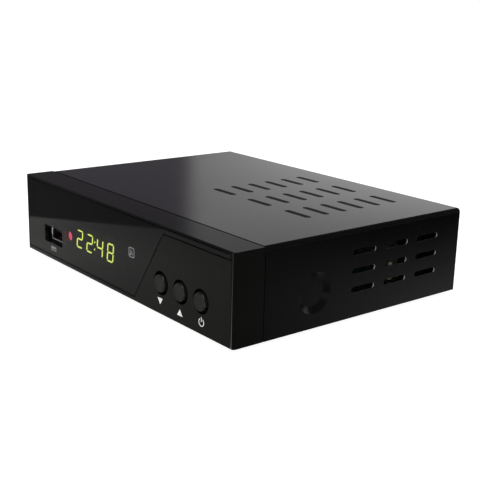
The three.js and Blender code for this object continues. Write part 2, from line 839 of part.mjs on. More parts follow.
// A button's cap: the round face, the flange that stops it behind the wall, and the boss on the plunger.
const capFlangeY = frontWall + capFlangeGap;
const capBackY = capFlangeY + capFlangeThickness + capBossLength;
function buttonCap() {
  const capFlangeRadius = buttonHoleRadius + capFlangeLap;
  const capBossRadius = plungerRadius + capBossRim;
  return turnedAlongY([
    [0, -capProud],
    [capRadius - capEdge, -capProud],
    [capRadius, -capProud + capEdge],
    [capRadius, capFlangeY],
    [capFlangeRadius, capFlangeY],
    [capFlangeRadius, capFlangeY + capFlangeThickness],
    [capBossRadius, capFlangeY + capFlangeThickness],
    [capBossRadius, capBackY],
    [0, capBackY],
  ], 0, 0);
}

// A switch's plunger reaches from the cap into the bore of the switch.
const switchFaceY = frontBoardY - switchHeight;
const plungerEndY = switchFaceY + plungerDip;
function switchPlunger() {
  return barAlongY(plungerRadius, 0, 0, capBackY, plungerEndY, smallSides);
}

function switchBody() {
  const body = opening(0, 0, switchSize, switchSize, switchFaceY, frontBoardY);
  const bore = [switchFaceY - overrun, plungerEndY + plungerRoom];
  return carve([body], [barAlongY(plungerRadius + plungerGap, 0, 0, ...bore, smallSides)]);
}

function frontBoard() {
  const low = [frontBoardLeftX, frontBoardY, frontBoardLowZ];
  const board = block(low, [frontBoardRightX, frontBoardBackY, frontBoardHighZ]);
  const through = [frontBoardY - overrun, frontBoardBackY + overrun];
  const holes = frontBossPlaces.map((x) => barAlongY(tapHoleRadius, x, frontBossZ, ...through, smallSides));
  return carve([board], holes);
}

// The display block narrows a little at its face.
function displayModule() {
  const displayFaceY = lensThickness + displayLensGap;
  const bodyY = displayFaceY + displayEdge;
  const body = opening(displayX, displayZ, displayWidth, displayHeight, bodyY, frontBoardY);
  const faceWidth = displayWidth - 2 * displayEdge;
  const faceHeight = displayHeight - 2 * displayEdge;
  const face = opening(displayX, displayZ, faceWidth, faceHeight, displayFaceY, frontBoardY);
  return carve([body, face]);
}

// Points of a quarter-circle dome that ends on the axis at faceY.
function domeProfile(radius, faceY) {
  const steps = Array.from({ length: arcSteps + 1 }, (_, i) => (i / arcSteps) * (Math.PI / 2));
  return steps.map((angle) => [radius * Math.sin(angle), faceY + radius * (1 - Math.cos(angle))]);
}

function statusLamp() {
  const baseY = frontBoardY - lampBaseThickness;
  const baseRadius = lampRadius + lampBaseRim;
  const base = [[lampRadius, baseY], [baseRadius, baseY], [baseRadius, frontBoardY]];
  const dome = domeProfile(lampRadius, lensThickness + lampLensGap);
  const profile = [...dome, ...base, [0, frontBoardY]];
  return turnedAlongY(profile, lampX, lampZ, smallSides);
}

function infraredReceiver() {
  const faceY = frontBoardY - receiverThickness;
  const body = opening(receiverX, receiverZ, receiverWidth, receiverHeight, faceY, frontBoardY);
  const dome = domeProfile(receiverDomeRadius, faceY - receiverDomeRadius / 2);
  const back = [[receiverDomeRadius, frontBoardY - overrun], [0, frontBoardY - overrun]];
  return carve([body, turnedAlongY([...dome, ...back], receiverX, receiverZ, smallSides)]);
}

function usbShell() {
  const end = usbShellStartY + usbShellLength;
  const shell = opening(usbX, usbZ, usbShellWidth, usbShellHeight, usbShellStartY, end);
  const bore = [usbShellStartY - overrun, end + overrun];
  return carve([shell], [opening(usbX, usbZ, usbInnerWidth, usbInnerHeight, ...bore)]);
}

// The plastic block at the back of the shell, with the tongue that carries the contacts above the middle.
function usbTongue() {
  const end = usbShellStartY + usbShellLength - usbFitGap;
  const width = usbInnerWidth - 2 * usbFitGap;
  const height = usbInnerHeight - 2 * usbFitGap;
  const blockPiece = opening(usbX, usbZ, width, height, end - usbBlockLength, end);
  const tongueZ = usbZ + usbTongueThickness / 2;
  const tongueWidth = usbInnerWidth - 2 * usbTongueSideGap;
  const span = [usbShellStartY + usbTongueSetback, end - usbBlockLength / 2];
  const tongue = opening(usbX, tongueZ, tongueWidth, usbTongueThickness, ...span);
  return carve([blockPiece, tongue]);
}

// The main board, with a tongue under the USB socket.
function mainBoard() {
  const tongueLeftX = usbX - boardTongueLeftReach;
  const tongueRightX = usbX + boardTongueRightReach;
  const tongueFrontY = usbShellStartY + boardTongueSetback;
  const shape = outline([
    [tongueLeftX, tongueFrontY],
    [tongueRightX, tongueFrontY],
    [tongueRightX, boardFrontY],
    [boardRightX, boardFrontY],
    [boardRightX, boardBackY],
    [boardLeftX, boardBackY],
    [boardLeftX, boardFrontY],
    [tongueLeftX, boardFrontY],
  ]);
  const holes = boardScrewPlaces.map(([x, y]) => {
    const low = boardUndersideZ - overrun;
    return uprightBar(screwHoleRadius, x, y, low, boardTopZ + overrun, smallSides);
  });
  return carve([raised(shape, boardUndersideZ, boardThickness)], holes);
}

// The tin box round the tuner: its lid is a little smaller than its frame.
function tunerCan() {
  const end = panelFaceY - panelGap;
  const left = tunerRightX - tunerWidth;
  const top = boardTopZ + tunerHeight;
  const frame = block([left, end - tunerLength, boardTopZ], [tunerRightX, end, top - tunerLidStep]);
  const lidLow = [left + tunerLidInset, end - tunerLength + tunerLidInset, boardTopZ];
  return carve([frame, block(lidLow, [tunerRightX - tunerLidInset, end - tunerLidInset, top])]);
}

// Aerial input: an outer barrel, and a middle tube that takes the plug's pin.
function aerialInput() {
  const start = panelFaceY - panelGap;
  const end = boxDepth + aerialReach;
  const floor = end - aerialBoreDepth;
  const tubeEnd = end - aerialTubeInset;
  return [
    [0, start],
    [aerialCollarRadius, start],
    [aerialCollarRadius, boxDepth + aerialCollarReach],
    [aerialRadius, boxDepth + aerialCollarReach],
    [aerialRadius, end - aerialEdge],
    [aerialRadius - aerialEdge, end],
    [aerialBoreRadius, end],
    [aerialBoreRadius, floor],
    [aerialTubeRadius, floor],
    [aerialTubeRadius, tubeEnd],
    [aerialTubeBoreRadius, tubeEnd],
    [aerialTubeBoreRadius, tubeEnd - aerialTubeBoreDepth],
    [0, tubeEnd - aerialTubeBoreDepth],
  ];
}

// Aerial loop output: a thin sleeve round a solid pin.
function aerialOutput() {
  const start = panelFaceY - panelGap;
  const end = boxDepth + aerialReach;
  const floor = end - aerialBoreDepth;
  return [
    [0, start],
    [aerialCollarRadius, start],
    [aerialCollarRadius, boxDepth + aerialCollarReach],
    [aerialRadius, boxDepth + aerialCollarReach],
    [aerialRadius, end],
    [aerialSleeveBoreRadius, end],
    [aerialSleeveBoreRadius, floor],
    [aerialPinRadius, floor],
    [aerialPinRadius, end - aerialPinInset - aerialPinRadius],
    [0, end - aerialPinInset],
  ];
}

function hdmiShell() {
  const end = boxDepth + hdmiReach;
  const start = end - hdmiShellLength;
  const outside = fromFront(hdmiOutline(hdmiShellWidth, hdmiShellHeight), start, hdmiShellLength);
  const bore = hdmiOutline(hdmiShellWidth - 2 * hdmiShellWall, hdmiShellHeight - 2 * hdmiShellWall);
  return carve([outside], [fromFront(bore, start - overrun, hdmiShellLength + 2 * overrun)]);
}

function hdmiTongue() {
  const end = boxDepth + hdmiReach;
  const start = end - hdmiShellLength;
  const shrink = 2 * hdmiShellWall + 2 * usbFitGap;
  const filling = hdmiOutline(hdmiShellWidth - shrink, hdmiShellHeight - shrink);
  const base = fromFront(filling, start, hdmiBlockLength);
  const span = [start + hdmiBlockLength / 2, end - hdmiTongueInset];
  const tongue = opening(hdmiX, hdmiZ, hdmiTongueWidth, hdmiTongueThickness, ...span);
  return carve([base, tongue]);
}

function avJack() {
  const end = boxDepth + avReach;
  const bodyEnd = panelFaceY - panelGap;
  const body = opening(avX, avZ, avWidth, avHeight, bodyEnd - avLength, bodyEnd);
  const nose = barAlongY(avNoseRadius, avX, avZ, bodyEnd - overrun, end);
  const bore = barAlongY(avBoreRadius, avX, avZ, end - avBoreDepth, end + overrun, smallSides);
  return carve([body, nose], [bore]);
}

function dcJack() {
  const end = boxDepth + dcReach;
  const bodyEnd = panelFaceY - panelGap;
  const body = opening(dcX, dcZ, dcWidth, dcHeight, bodyEnd - dcLength, bodyEnd);
  const nose = barAlongY(dcNoseRadius, dcX, dcZ, bodyEnd - overrun, end);
  const boreFloor = end - dcBoreDepth;
  const bored = carve([body, nose], [barAlongY(dcBoreRadius, dcX, dcZ, boreFloor, end + overrun)]);
  return carve([bored, barAlongY(dcPinRadius, dcX, dcZ, boreFloor - overrun, end - dcPinInset, smallSides)]);
}

// A square-finned heat sink on the main chip.
function heatSink() {
  const left = mainChipPlace[0] - sinkSize / 2;
  const front = mainChipPlace[1] - sinkSize / 2;
  const low = boardTopZ + mainChipHeight;
  const pieces = [block([left, front, low], [left + sinkSize, front + sinkSize, low + sinkBase])];
  const pitch = (sinkSize - sinkFinThickness) / (sinkFins - 1);
  for (const x of spaced(left, pitch, sinkFins)) {
    const high = [x + sinkFinThickness, front + sinkSize, low + sinkHeight];
    pieces.push(block([x, front, low + sinkBase / 2], high));
  }
  return carve(pieces);
}

// A flat chip with a row of legs along each of its two long sides.
function leggedChip([x, y], [width, length], legs) {
  const halfX = width / 2;
  const halfY = length / 2;
  const low = boardTopZ + chipLift;
  const pieces = [block([x - halfX, y - halfY, low], [x + halfX, y + halfY, low + chipHeight])];
  const pitch = length / legs;
  for (const legY of spaced(y - halfY + pitch / 2, pitch, legs)) {
    const start = [x - halfX - legReach, legY - legWidth / 2, boardTopZ];
    pieces.push(block(start, [x + halfX + legReach, legY + legWidth / 2, boardTopZ + legThickness]));
  }
  return carve(pieces);
}

function crystal() {
  const [x, y] = boardPlace(crystalShares);
  const rim = slotOutline(x, y, crystalLength + 2 * crystalRim, crystalWidth + 2 * crystalRim);
  const can = slotOutline(x, y, crystalLength, crystalWidth);
  return carve([raised(rim, boardTopZ, crystalRimHeight), raised(can, boardTopZ, crystalHeight)]);
}

// A power regulator: its body, its heat tab and its three legs.
function regulator() {
  const [x, y] = boardPlace(regulatorShares);
  const front = y - regulatorLength / 2;
  const back = y + regulatorLength / 2;
  const half = regulatorWidth / 2;
  const body = block([x - half, front, boardTopZ], [x + half, back, boardTopZ + regulatorHeight]);
  const tabHalf = regulatorTabWidth / 2;
  const tabHigh = [x + tabHalf, back + regulatorTabLength, boardTopZ + regulatorTabThickness];
  const pieces = [body, block([x - tabHalf, y, boardTopZ], tabHigh)];
  const pitch = (regulatorWidth - regulatorLegWidth) / (regulatorLegs - 1);
  for (const legX of spaced(x - half, pitch, regulatorLegs)) {
    const high = [legX + regulatorLegWidth, y, boardTopZ + regulatorTabThickness];
    pieces.push(block([legX, front - regulatorLegReach, boardTopZ], high));
  }
  return carve(pieces);
}

// A drum-core power inductor between two square flanges.
function powerInductor() {
  const [x, y] = boardPlace(inductorShares);
  const flange = roundedRectangle(x, y, inductorSize, inductorSize, inductorCorner);
  const top = boardTopZ + inductorHeight;
  const halfBase = inductorBase / 2;
  const core = uprightBar(inductorCoreRadius, x, y, boardTopZ + halfBase, top - halfBase, smallSides);
  const flanges = [boardTopZ, top - inductorBase].map((z) => raised(flange, z, inductorBase));
  return carve([...flanges, core]);
}

// A can capacitor with its rolled groove near the board.
function canCapacitor({ shares, inset, radius, height }) {
  const [shareX, y] = boardPlace(shares);
  const x = shareX - inset;
  const grooveZ = boardTopZ + capacitorGrooveZ;
  const top = boardTopZ + height;
  return turnedUpright([
    [0, boardTopZ],
    [radius, boardTopZ],
    [radius, grooveZ],
    [radius - capacitorGrooveDepth, grooveZ + capacitorGrooveHeight / 2],
    [radius, grooveZ + capacitorGrooveHeight],
    [radius, top - capacitorEdge],
    [radius - capacitorEdge, top],
    [0, top],
  ], x, y, smallSides);
}

// The flat cable leaves the front header straight back, bends down and enters the main header.
function flatCable() {
  const cableWidth = headerWidth - 2 * headerCableMargin;
  const half = cableThickness / 2;
  const bendY = mainHeaderY - cableBend;
  const bendZ = frontHeaderZ - cableBend;
  const shape = new THREE.Shape();
  shape.moveTo(frontHeaderBackY, frontHeaderZ - half);
  shape.lineTo(bendY, frontHeaderZ - half);
  shape.absarc(bendY, bendZ, cableBend - half, Math.PI / 2, 0, true);
  shape.lineTo(mainHeaderY - half, mainHeaderTopZ);
  shape.lineTo(mainHeaderY + half, mainHeaderTopZ);
  shape.absarc(bendY, bendZ, cableBend + half, 0, Math.PI / 2, false);
  shape.lineTo(frontHeaderBackY, frontHeaderZ + half);
  return fromSide(shape, headerX - cableWidth / 2, cableWidth);
}

// Case
place("top_cover", topCover(), paintedSteel);
place("bottom_chassis", bottomChassis(), paintedSteel);
place("front_bezel", frontBezel(), blackGloss);
place("front_lens", frontLens(), smokedLens);
for (const [side, x] of [["left", -halfWidth + footInsetX], ["right", halfWidth - footInsetX]]) {
  const ends = [["front", seamEndY + footInsetY - footRadius], ["back", boxDepth - footInsetY]];
  for (const [end, y] of ends) {
    place(`foot_${end}_${side}`, foot(), blackRubber).position.set(x, y, -footHeight);
  }
}
for (const [name, [x, z]] of Object.entries(coverScrewPlaces)) {
  const screw = place(`cover_screw_${name}`, machineScrew, screwSteel);
  screw.rotation.x = -Math.PI / 2;
  screw.position.set(x, boxDepth, z);
}

// Front board and what it carries
place("front_board", frontBoard(), boardGreen);
frontBossPlaces.forEach((x, i) => {
  const screw = place(`front_board_screw_${["left", "right"][i]}`, tapScrew, screwSteel);
  screw.rotation.x = -Math.PI / 2;
  screw.position.set(x, frontBoardBackY, frontBossZ);
});
place("display_module", displayModule(), blackPlastic);
place("status_lamp", statusLamp(), redEpoxy);
place("infrared_receiver", infraredReceiver(), blackPlastic);
buttonNames.forEach((name, i) => {
  const button = new THREE.Group();
  button.position.set(buttonFirstX + i * buttonPitch, 0, buttonZ);
  casing.add(button);
  place(`button_${name}`, buttonCap(), blackGloss, button);
  place(`switch_plunger_${name}`, switchPlunger(), blackPlastic, button);
  place(`switch_body_${name}`, switchBody(), blackPlastic, button);
});

// Main board, the posts that it stands on and what it carries
place("main_board", mainBoard(), boardGreen);
boardScrewPlaces.forEach(([x, y], i) => {
  const corner = ["front_left", "front_right", "back_left", "back_right"][i];
  place(`standoff_${corner}`, standoff(), nickel).position.set(x, y, 0);
  place(`main_board_screw_${corner}`, machineScrew, screwSteel).position.set(x, y, boardTopZ);
});
place("usb_shell", usbShell(), tinnedSteel);
place("usb_tongue", usbTongue(), blackPlastic);
place("tuner_can", tunerCan(), tinnedSteel);
place("aerial_input", turnedAlongY(aerialInput(), aerialPlaces[0], aerialZ), nickel);
place("aerial_output", turnedAlongY(aerialOutput(), aerialPlaces[1], aerialZ), nickel);
place("hdmi_shell", hdmiShell(), tinnedSteel);
place("hdmi_tongue", hdmiTongue(), blackPlastic);
place("av_jack", avJack(), blackPlastic);
place("dc_jack", dcJack(), blackPlastic);
const [chipX, chipY] = mainChipPlace;
const chipHalf = mainChipSize / 2;
const chipLow = [chipX - chipHalf, chipY - chipHalf, boardTopZ];
const chipHigh = [chipX + chipHalf, chipY + chipHalf, boardTopZ + mainChipHeight];
place("main_chip", block(chipLow, chipHigh), chipEpoxy);
place("heat_sink", heatSink(), blackAluminium);
place("memory_chip", leggedChip(boardPlace(memoryShares), memorySize, memoryLegs), chipEpoxy);
place("flash_chip", leggedChip(boardPlace(flashShares), flashSize, flashLegs), chipEpoxy);
place("crystal", crystal(), tinnedSteel);
place("regulator", regulator(), chipEpoxy);
place("power_inductor", powerInductor(), blackAluminium);
for (const capacitor of capacitors) place(capacitor.name, canCapacitor(capacitor), sleeveFoil);

// Headers and the cable between the boards
const headerHalf = headerWidth / 2;
const frontHeaderLow = [headerX - headerHalf, frontBoardBackY, frontHeaderZ - headerThickness / 2];
const frontHeaderHigh = [headerX + headerHalf, frontHeaderBackY, frontHeaderZ + headerThickness / 2];
place("front_header", block(frontHeaderLow, frontHeaderHigh), whitePlastic);
const mainHeaderLow = [headerX - headerHalf, mainHeaderY - headerThickness / 2, boardTopZ];
const mainHeaderHigh = [headerX + headerHalf, mainHeaderY + headerThickness / 2, mainHeaderTopZ];
place("main_header", block(mainHeaderLow, mainHeaderHigh), whitePlastic);
place("flat_cable", flatCable(), cableGrey);

export default decoder;
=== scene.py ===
# %% [markdown]
# # A TV decoder box
#
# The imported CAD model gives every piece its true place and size. This lesson keeps those sizes and
# adds what a camera sees: soft edges, turned and moulded shapes, printed marks, and a finish for
# each material. All lengths here are written in millimetres of the case: x from the middle, y from
# the front face towards the back, z up from the underside of the case.

# %% Load the frame
import json
import math

import bmesh
import bpy
import numpy as np
from mathutils import Matrix, Vector


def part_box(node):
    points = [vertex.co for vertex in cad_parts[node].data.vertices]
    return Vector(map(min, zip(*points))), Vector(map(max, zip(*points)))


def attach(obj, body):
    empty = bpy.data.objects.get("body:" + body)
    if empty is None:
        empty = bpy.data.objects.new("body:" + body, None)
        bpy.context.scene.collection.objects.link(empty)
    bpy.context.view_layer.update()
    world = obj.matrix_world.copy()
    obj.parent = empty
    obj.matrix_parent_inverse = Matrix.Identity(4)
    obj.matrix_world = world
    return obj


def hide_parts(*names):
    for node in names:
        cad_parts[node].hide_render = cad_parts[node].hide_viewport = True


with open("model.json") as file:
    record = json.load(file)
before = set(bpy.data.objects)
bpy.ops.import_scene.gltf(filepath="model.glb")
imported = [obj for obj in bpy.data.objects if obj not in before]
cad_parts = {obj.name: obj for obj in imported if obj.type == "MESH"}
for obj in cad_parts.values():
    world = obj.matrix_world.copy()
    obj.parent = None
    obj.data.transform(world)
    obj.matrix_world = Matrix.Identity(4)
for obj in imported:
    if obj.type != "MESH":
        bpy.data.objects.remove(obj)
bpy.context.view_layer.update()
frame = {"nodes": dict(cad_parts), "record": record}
MM = 0.001
front_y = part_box("front_bezel")[0].y / MM
underside_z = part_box("bottom_chassis")[0].z / MM
bodies = frame["record"]["behaviour"]["bodies"]
body_named = {node: body for body, nodes in bodies.items() for node in nodes}
print(len(frame["nodes"]), "CAD nodes")
print("front face at y", round(front_y, 2), "and underside at z", round(underside_z, 2))

# %% [markdown]
# ## Camera
# The camera stands where the photograph was taken from: to the right of the front corner and a
# little above the lid. Its place, its two directions and its lens were fitted to the corners of the
# case, so that the render can be laid over the photograph.

# %% Camera
scene = bpy.context.scene
CAMERA_LENS = 69.811
CAMERA_PLACE = (0.280295, -0.224973, 0.11155)
CAMERA_FORWARD = (-0.75131, 0.60354, -0.26697)
CAMERA_RIGHT = (0.62136, 0.78315, 0.02424)


def linked(name, data):
    """A new object in the scene."""
    made = bpy.data.objects.new(name, data)
    scene.collection.objects.link(made)
    return made


backward = -Vector(CAMERA_FORWARD).normalized()
right = Vector(CAMERA_RIGHT)
right = (right - right.dot(backward) * backward).normalized()
camera = linked("camera", bpy.data.cameras.new("camera"))
camera.data.lens = CAMERA_LENS
camera.data.clip_start = 0.01
camera_turn = Matrix((right, backward.cross(right), backward)).transposed().to_4x4()
camera.matrix_world = Matrix.Translation(CAMERA_PLACE) @ camera_turn
scene.camera = camera
scene.view_settings.view_transform = "Standard"
print("camera", camera.data.lens, "mm")

# %% [markdown]
# ## Shader sums in Python
# A finish is a small sum of noises, stripes and masks. The `Signal` class wraps one socket of a
# node tree, so that `1 - mask * 0.3` adds the Math nodes by itself. A `Recipe` is one material: its
# method `node` adds any node from its type, its settings and what goes into its sockets.

# %% Signal and Recipe
class Signal:
    """One output socket that Python's signs can be used on."""

    def __init__(self, recipe, socket):
        self.recipe = recipe
        self.socket = socket

    def sum(self, operation, first, second=0.0):
        return self.recipe.node("ShaderNodeMath", {"operation": operation}, {0: first, 1: second})

    def __add__(self, other):
        return self.sum("ADD", self, other)

    def __sub__(self, other):
        return self.sum("SUBTRACT", self, other)

    def __rsub__(self, other):
        return self.sum("SUBTRACT", other, self)

    def __mul__(self, other):
        return self.sum("MULTIPLY", self, other)

    def __truediv__(self, other):
        return self.sum("DIVIDE", self, other)

    def __abs__(self):
        return self.sum("ABSOLUTE", self)

    __radd__ = __add__
    __rmul__ = __mul__

    def least(self, other):
        return self.sum("MINIMUM", self, other)

    def most(self, other):
        return self.sum("MAXIMUM", self, other)

    def fraction(self):
        return self.sum("FRACT", self)

    def step(self, low, high):
        """0 below low, 1 above high, and a smooth rise between; low may be above high."""
        settings = {"interpolation_type": "SMOOTHSTEP"}
        inputs = {"Value": self, "From Min": low, "From Max": high}
        return self.recipe.node("ShaderNodeMapRange", settings, inputs)


class Recipe:
    """A material, or the world, and the nodes that make it."""

    def __init__(self, owner):
        self.owner = owner
        owner.use_nodes = True
        self.tree = owner.node_tree
        self.shader = self.tree.nodes.get("Principled BSDF")

    def node(self, kind, settings=(), inputs=(), output=0):
        made = self.tree.nodes.new(kind)
        for name, value in dict(settings).items():
            setattr(made, name, value)
        self.fill(made, inputs)
        return Signal(self, made.outputs[output])

    def fill(self, node, inputs):
        for name, value in dict(inputs).items():
            if isinstance(value, Signal):
                self.tree.links.new(value.socket, node.inputs[name])
            else:
                node.inputs[name].default_value = value

    def place(self, centre=(0, 0, 0)):
        """Object coordinates in millimetres of the case, from a centre."""
        start = self.node("ShaderNodeTexCoord", output=3)
        shift = (-centre[0], -centre[1] - front_y, -centre[2] - underside_z)
        inputs = {0: start, 1: (1 / MM,) * 3, 2: shift}
        return self.node("ShaderNodeVectorMath", {"operation": "MULTIPLY_ADD"}, inputs)

    def axes(self, place):
        parts = self.node("ShaderNodeSeparateXYZ", inputs={0: place}).socket.node
        return [Signal(self, output) for output in parts.outputs]

    def stretch(self, place, scales):
        return self.node("ShaderNodeVectorMath", {"operation": "MULTIPLY"}, {0: place, 1: scales})

    def noise(self, place, scale, detail=2.0):
        return self.node("ShaderNodeTexNoise", inputs={"Vector": place, "Scale": scale, "Detail": detail})

    def cells(self, place, scale, feature="F1"):
        return self.node("ShaderNodeTexVoronoi", {"feature": feature}, {"Vector": place, "Scale": scale})

    def mix(self, factor, first, second):
        def colour(value):
            return value if isinstance(value, Signal) else (*value, 1)

        inputs = {0: factor, 6: colour(first), 7: colour(second)}
        return self.node("ShaderNodeMix", {"data_type": "RGBA"}, inputs, 2)

    def bump(self, height):
        """Turns a height in millimetres into the normal that such a relief has."""
        return self.node("ShaderNodeBump", inputs={"Height": height, "Distance": MM})

    def show(self, shader):
        self.fill(self.tree.nodes["Material Output"], {"Surface": shader})

    def dulled(self, share):
        """Mixes the finish with a matt black: painted shade in a joint or a recess, or the dull look of an
        unpolished face.
        """
        dull = self.node("ShaderNodeBsdfDiffuse", inputs={"Color": (0.003, 0.003, 0.003, 1)})
        glossy = Signal(self, self.shader.outputs[0])
        self.show(self.node("ShaderNodeMixShader", inputs={0: share, 1: glossy, 2: dull}))


def material(name, **constants):
    """A new material whose shader sockets hold the constants; underscores stand for spaces."""
    recipe = Recipe(bpy.data.materials.new(name))
    for socket, value in constants.items():
        value = (*value, 1) if isinstance(value, tuple) else value
        recipe.shader.inputs[socket.replace("_", " ")].default_value = value
    return recipe


def distance(across, up):
    """How far a place is from an axis: the root of the two squares' sum."""
    square = across * across + up * up
    return square.sum("SQRT", square)


print("shader sums ready")

# %% [markdown]
# ## Room
# The photograph shows the box alone on white. The world and the floor are white for the camera and
# in reflections; as light on the object they are a plain soft level. A gloss black box shows mostly
# what it mirrors, so dark and light cards round it do the work that a studio's flags do: they are
# seen only in reflections.

# %% World and floor
WORLD_LIGHT = 0.8
FLOOR_GLOW = 0.93
FLOOR_ALBEDO = 0.3
FLOOR_HALF = 4.0
world = Recipe(bpy.data.worlds.new("white"))
scene.world = world.owner


def seen_directly(recipe):
    """1 for rays from the camera, from gloss and through glass; 0 for rays that light something."""
    rays = recipe.node("ShaderNodeLightPath").socket.node.outputs
    seen = [Signal(recipe, rays[name]) for name in ("Is Camera Ray", "Is Glossy Ray", "Is Transmission Ray")]
    return seen[0].most(seen[1]).most(seen[2])


sky_strength = seen_directly(world) * (1 - WORLD_LIGHT) + WORLD_LIGHT
world.fill(world.tree.nodes["Background"], {"Color": (1, 1, 1, 1), "Strength": sky_strength})


def meshed(name, points, faces):
    """A new object from points in metres."""
    mesh = bpy.data.meshes.new(name)
    mesh.from_pydata(points, [], faces)
    return linked(name, mesh)


def level_square(name, half, height):
    """A stage sheet that reaches half its width, in metres, from the middle."""
    corners = [(x * half, y * half, height) for x, y in ((-1, -1), (1, -1), (1, 1), (-1, 1))]
    sheet = meshed(name, corners, [(0, 1, 2, 3)])
    return sheet


floor = level_square("floor", FLOOR_HALF, 0)
floor_paint = material("floor")
matt = floor_paint.node("ShaderNodeBsdfDiffuse", inputs={"Color": (0.8, 0.8, 0.8, 1)})
faint = floor_paint.node("ShaderNodeBsdfDiffuse", inputs={"Color": (FLOOR_ALBEDO,) * 3 + (1,)})
glow = floor_paint.node("ShaderNodeEmission", inputs={"Color": (1, 1, 1, 1), "Strength": FLOOR_GLOW})
shown = floor_paint.node("ShaderNodeAddShader", inputs={0: faint, 1: glow})
both = floor_paint.node("ShaderNodeMixShader", inputs={0: seen_directly(floor_paint), 1: matt, 2: shown})
floor_paint.show(both)
floor.data.materials.append(floor_paint.owner)
print("floor and world are white")

# %% [markdown]
# ## Lamps and cards
# Two large soft lamps light the box from above and from the front. The floor card repeats the
# tones that the gloss front and the side mirror: light close to the front, dark past a straight
# edge to the left, dark beside the right side, and one bright spot by the front corner. Round it
# all stands a half sphere, the tent, which gives the lid its tones: a backlight behind the box that
# falls off upwards, a sheltered dark part to the left of it, a dim grey wall elsewhere, black
# overhead, and one tall window at the front right that makes the glints on round edges.

# %% Lamps
def soft_lamp(name, place, size, watts):
    lamp = linked(name, bpy.data.lights.new(name, "AREA"))
    lamp.data.shape = "DISK"
    lamp.data.size = size
    lamp.data.energy = watts
    lamp.location = place
    lamp.rotation_mode = "QUATERNION"
    lamp.rotation_quaternion = (-Vector(place)).to_track_quat("-Z", "Y")
    return lamp


soft_lamp("overhead", (0.25, -0.2, 1.3), 0.9, 6.0)
soft_lamp("front_fill", (-0.9, -1.2, 0.7), 0.6, 4.0).visible_glossy = False

# %% Cards that only reflections show
# On the floor card lengths are millimetres of the part, and a tone of 1 is white.
CARD_HEIGHT = 0.0002
CARD_HALF = 1.2
EDGE_POINT, EDGE_NORMAL = (-123.1, -83.9), (0.591, 0.806)
FRONT_TONE, SIDE_TONE, BACKDROP_TONE, SPOT_TONE = 0.095, 0.05, 0.5, 6.5


def only_in_gloss(sheet):
    sheet.visible_camera = False
    sheet.visible_diffuse = False
    sheet.visible_transmission = False
    sheet.visible_volume_scatter = False
    sheet.visible_shadow = False


def glowing(sheet, recipe, colour, strength):
    """The card's only shader is an emission, so that it looks the same from everywhere."""
    recipe.show(recipe.node("ShaderNodeEmission", inputs={"Color": colour, "Strength": strength}))
    sheet.data.materials.append(recipe.owner)
    only_in_gloss(sheet)


floor_card = level_square("floor_card", CARD_HALF, CARD_HEIGHT)
card_paint = material("floor_card")
card_place = card_paint.node("ShaderNodeTexCoord", output=3)
card_x, card_y, _ = card_paint.axes(card_paint.stretch(card_place, (1 / MM,) * 3))
past_edge = (card_x - EDGE_POINT[0]) * EDGE_NORMAL[0] + (card_y - EDGE_POINT[1]) * EDGE_NORMAL[1]
far_left = card_x.step(-80, -125)
front_light = 0.3 + (card_x * -1).step(0, 115) * 0.32 - card_x.step(-20, 70) * 0.09
fading = past_edge.step(-5, 62) * (0.5 - far_left * 0.3) + far_left * 0.3 + 0.5
front_tone = past_edge.step(-2.5, 2.5) * (front_light * fading - FRONT_TONE) + FRONT_TONE
reach = ((card_x - 70) / 90).most(0).least(1)
side_light = (1 - reach) * (1 - reach) * card_y.step(-75, 60) * 0.29
side_tone = side_light + SIDE_TONE - reach * card_y.step(20, 100) * 0.045
right_part = card_x.step(66, 74)
corner_reach = card_y * -1 - 58
behind_corner = ((card_x - 70) / corner_reach.most(1)).step(0.17, 0.32)
around = front_tone + right_part * behind_corner * (side_tone - front_tone)
corner_spot = card_x.step(66, 71) * (1 - behind_corner) * (SPOT_TONE - corner_reach.step(5, 90) * 4.1)
behind_box = card_y.step(110, 160) * card_x.step(60, 40)
left_of_box = card_x.step(-90, -150) * card_y.step(-40, 0)
floor_tone = around + corner_spot + behind_box.most(left_of_box) * (BACKDROP_TONE - around)
glowing(floor_card, card_paint, (1, 1, 0.97, 1), floor_tone)

# %% A tent of light and shade
# Each point is radius * (cos h cos b, cos h sin b, sin h) for its height h and its bearing b.
TENT_RADIUS = 3.0
TENT_ROWS, TENT_COLUMNS = 25, 97
TENT_SPLIT = 144.6
AWAY_TONE, BESIDE_TONE, SHELTERED_TONE, OVERHEAD_TONE, WINDOW_TONE = 0.5, 0.05, 0.13, 0.05, 4.0
bearings = np.radians(np.linspace(0, 360, TENT_COLUMNS))
heights = np.radians(np.linspace(0, 90, TENT_ROWS))
tent_points = TENT_RADIUS * np.stack([
    np.cos(heights)[:, None] * np.cos(bearings),
    np.cos(heights)[:, None] * np.sin(bearings),
    np.broadcast_to(np.sin(heights)[:, None], (TENT_ROWS, TENT_COLUMNS)),
], axis=-1)
corner = np.arange((TENT_ROWS - 1) * TENT_COLUMNS).reshape(-1, TENT_COLUMNS)[:, :-1]
above = corner + TENT_COLUMNS
tent_faces = np.stack([corner, corner + 1, above + 1, above], axis=-1).reshape(-1, 4)
tent = meshed("tent", tent_points.reshape(-1, 3).tolist(), tent_faces.tolist())
tent_paint = material("tent")
tent_x, tent_y, tent_z = tent_paint.axes(tent_paint.node("ShaderNodeTexCoord", output=3))
bearing = tent_y.sum("ARCTAN2", tent_y, tent_x) * (180 / math.pi)
bearing = bearing + bearing.step(-0.01, 0.01) * -360 + 360
rise = tent_z.sum("ARCSINE", tent_z / TENT_RADIUS) * (180 / math.pi)
turned_by, raised_by = bearing - 138, rise - 14
fall = turned_by * -0.022 - raised_by * 0.081 + turned_by * raised_by * 0.0162 - 0.56
backlight = fall.sum("EXPONENT", fall).least(1.0).most(0.42)
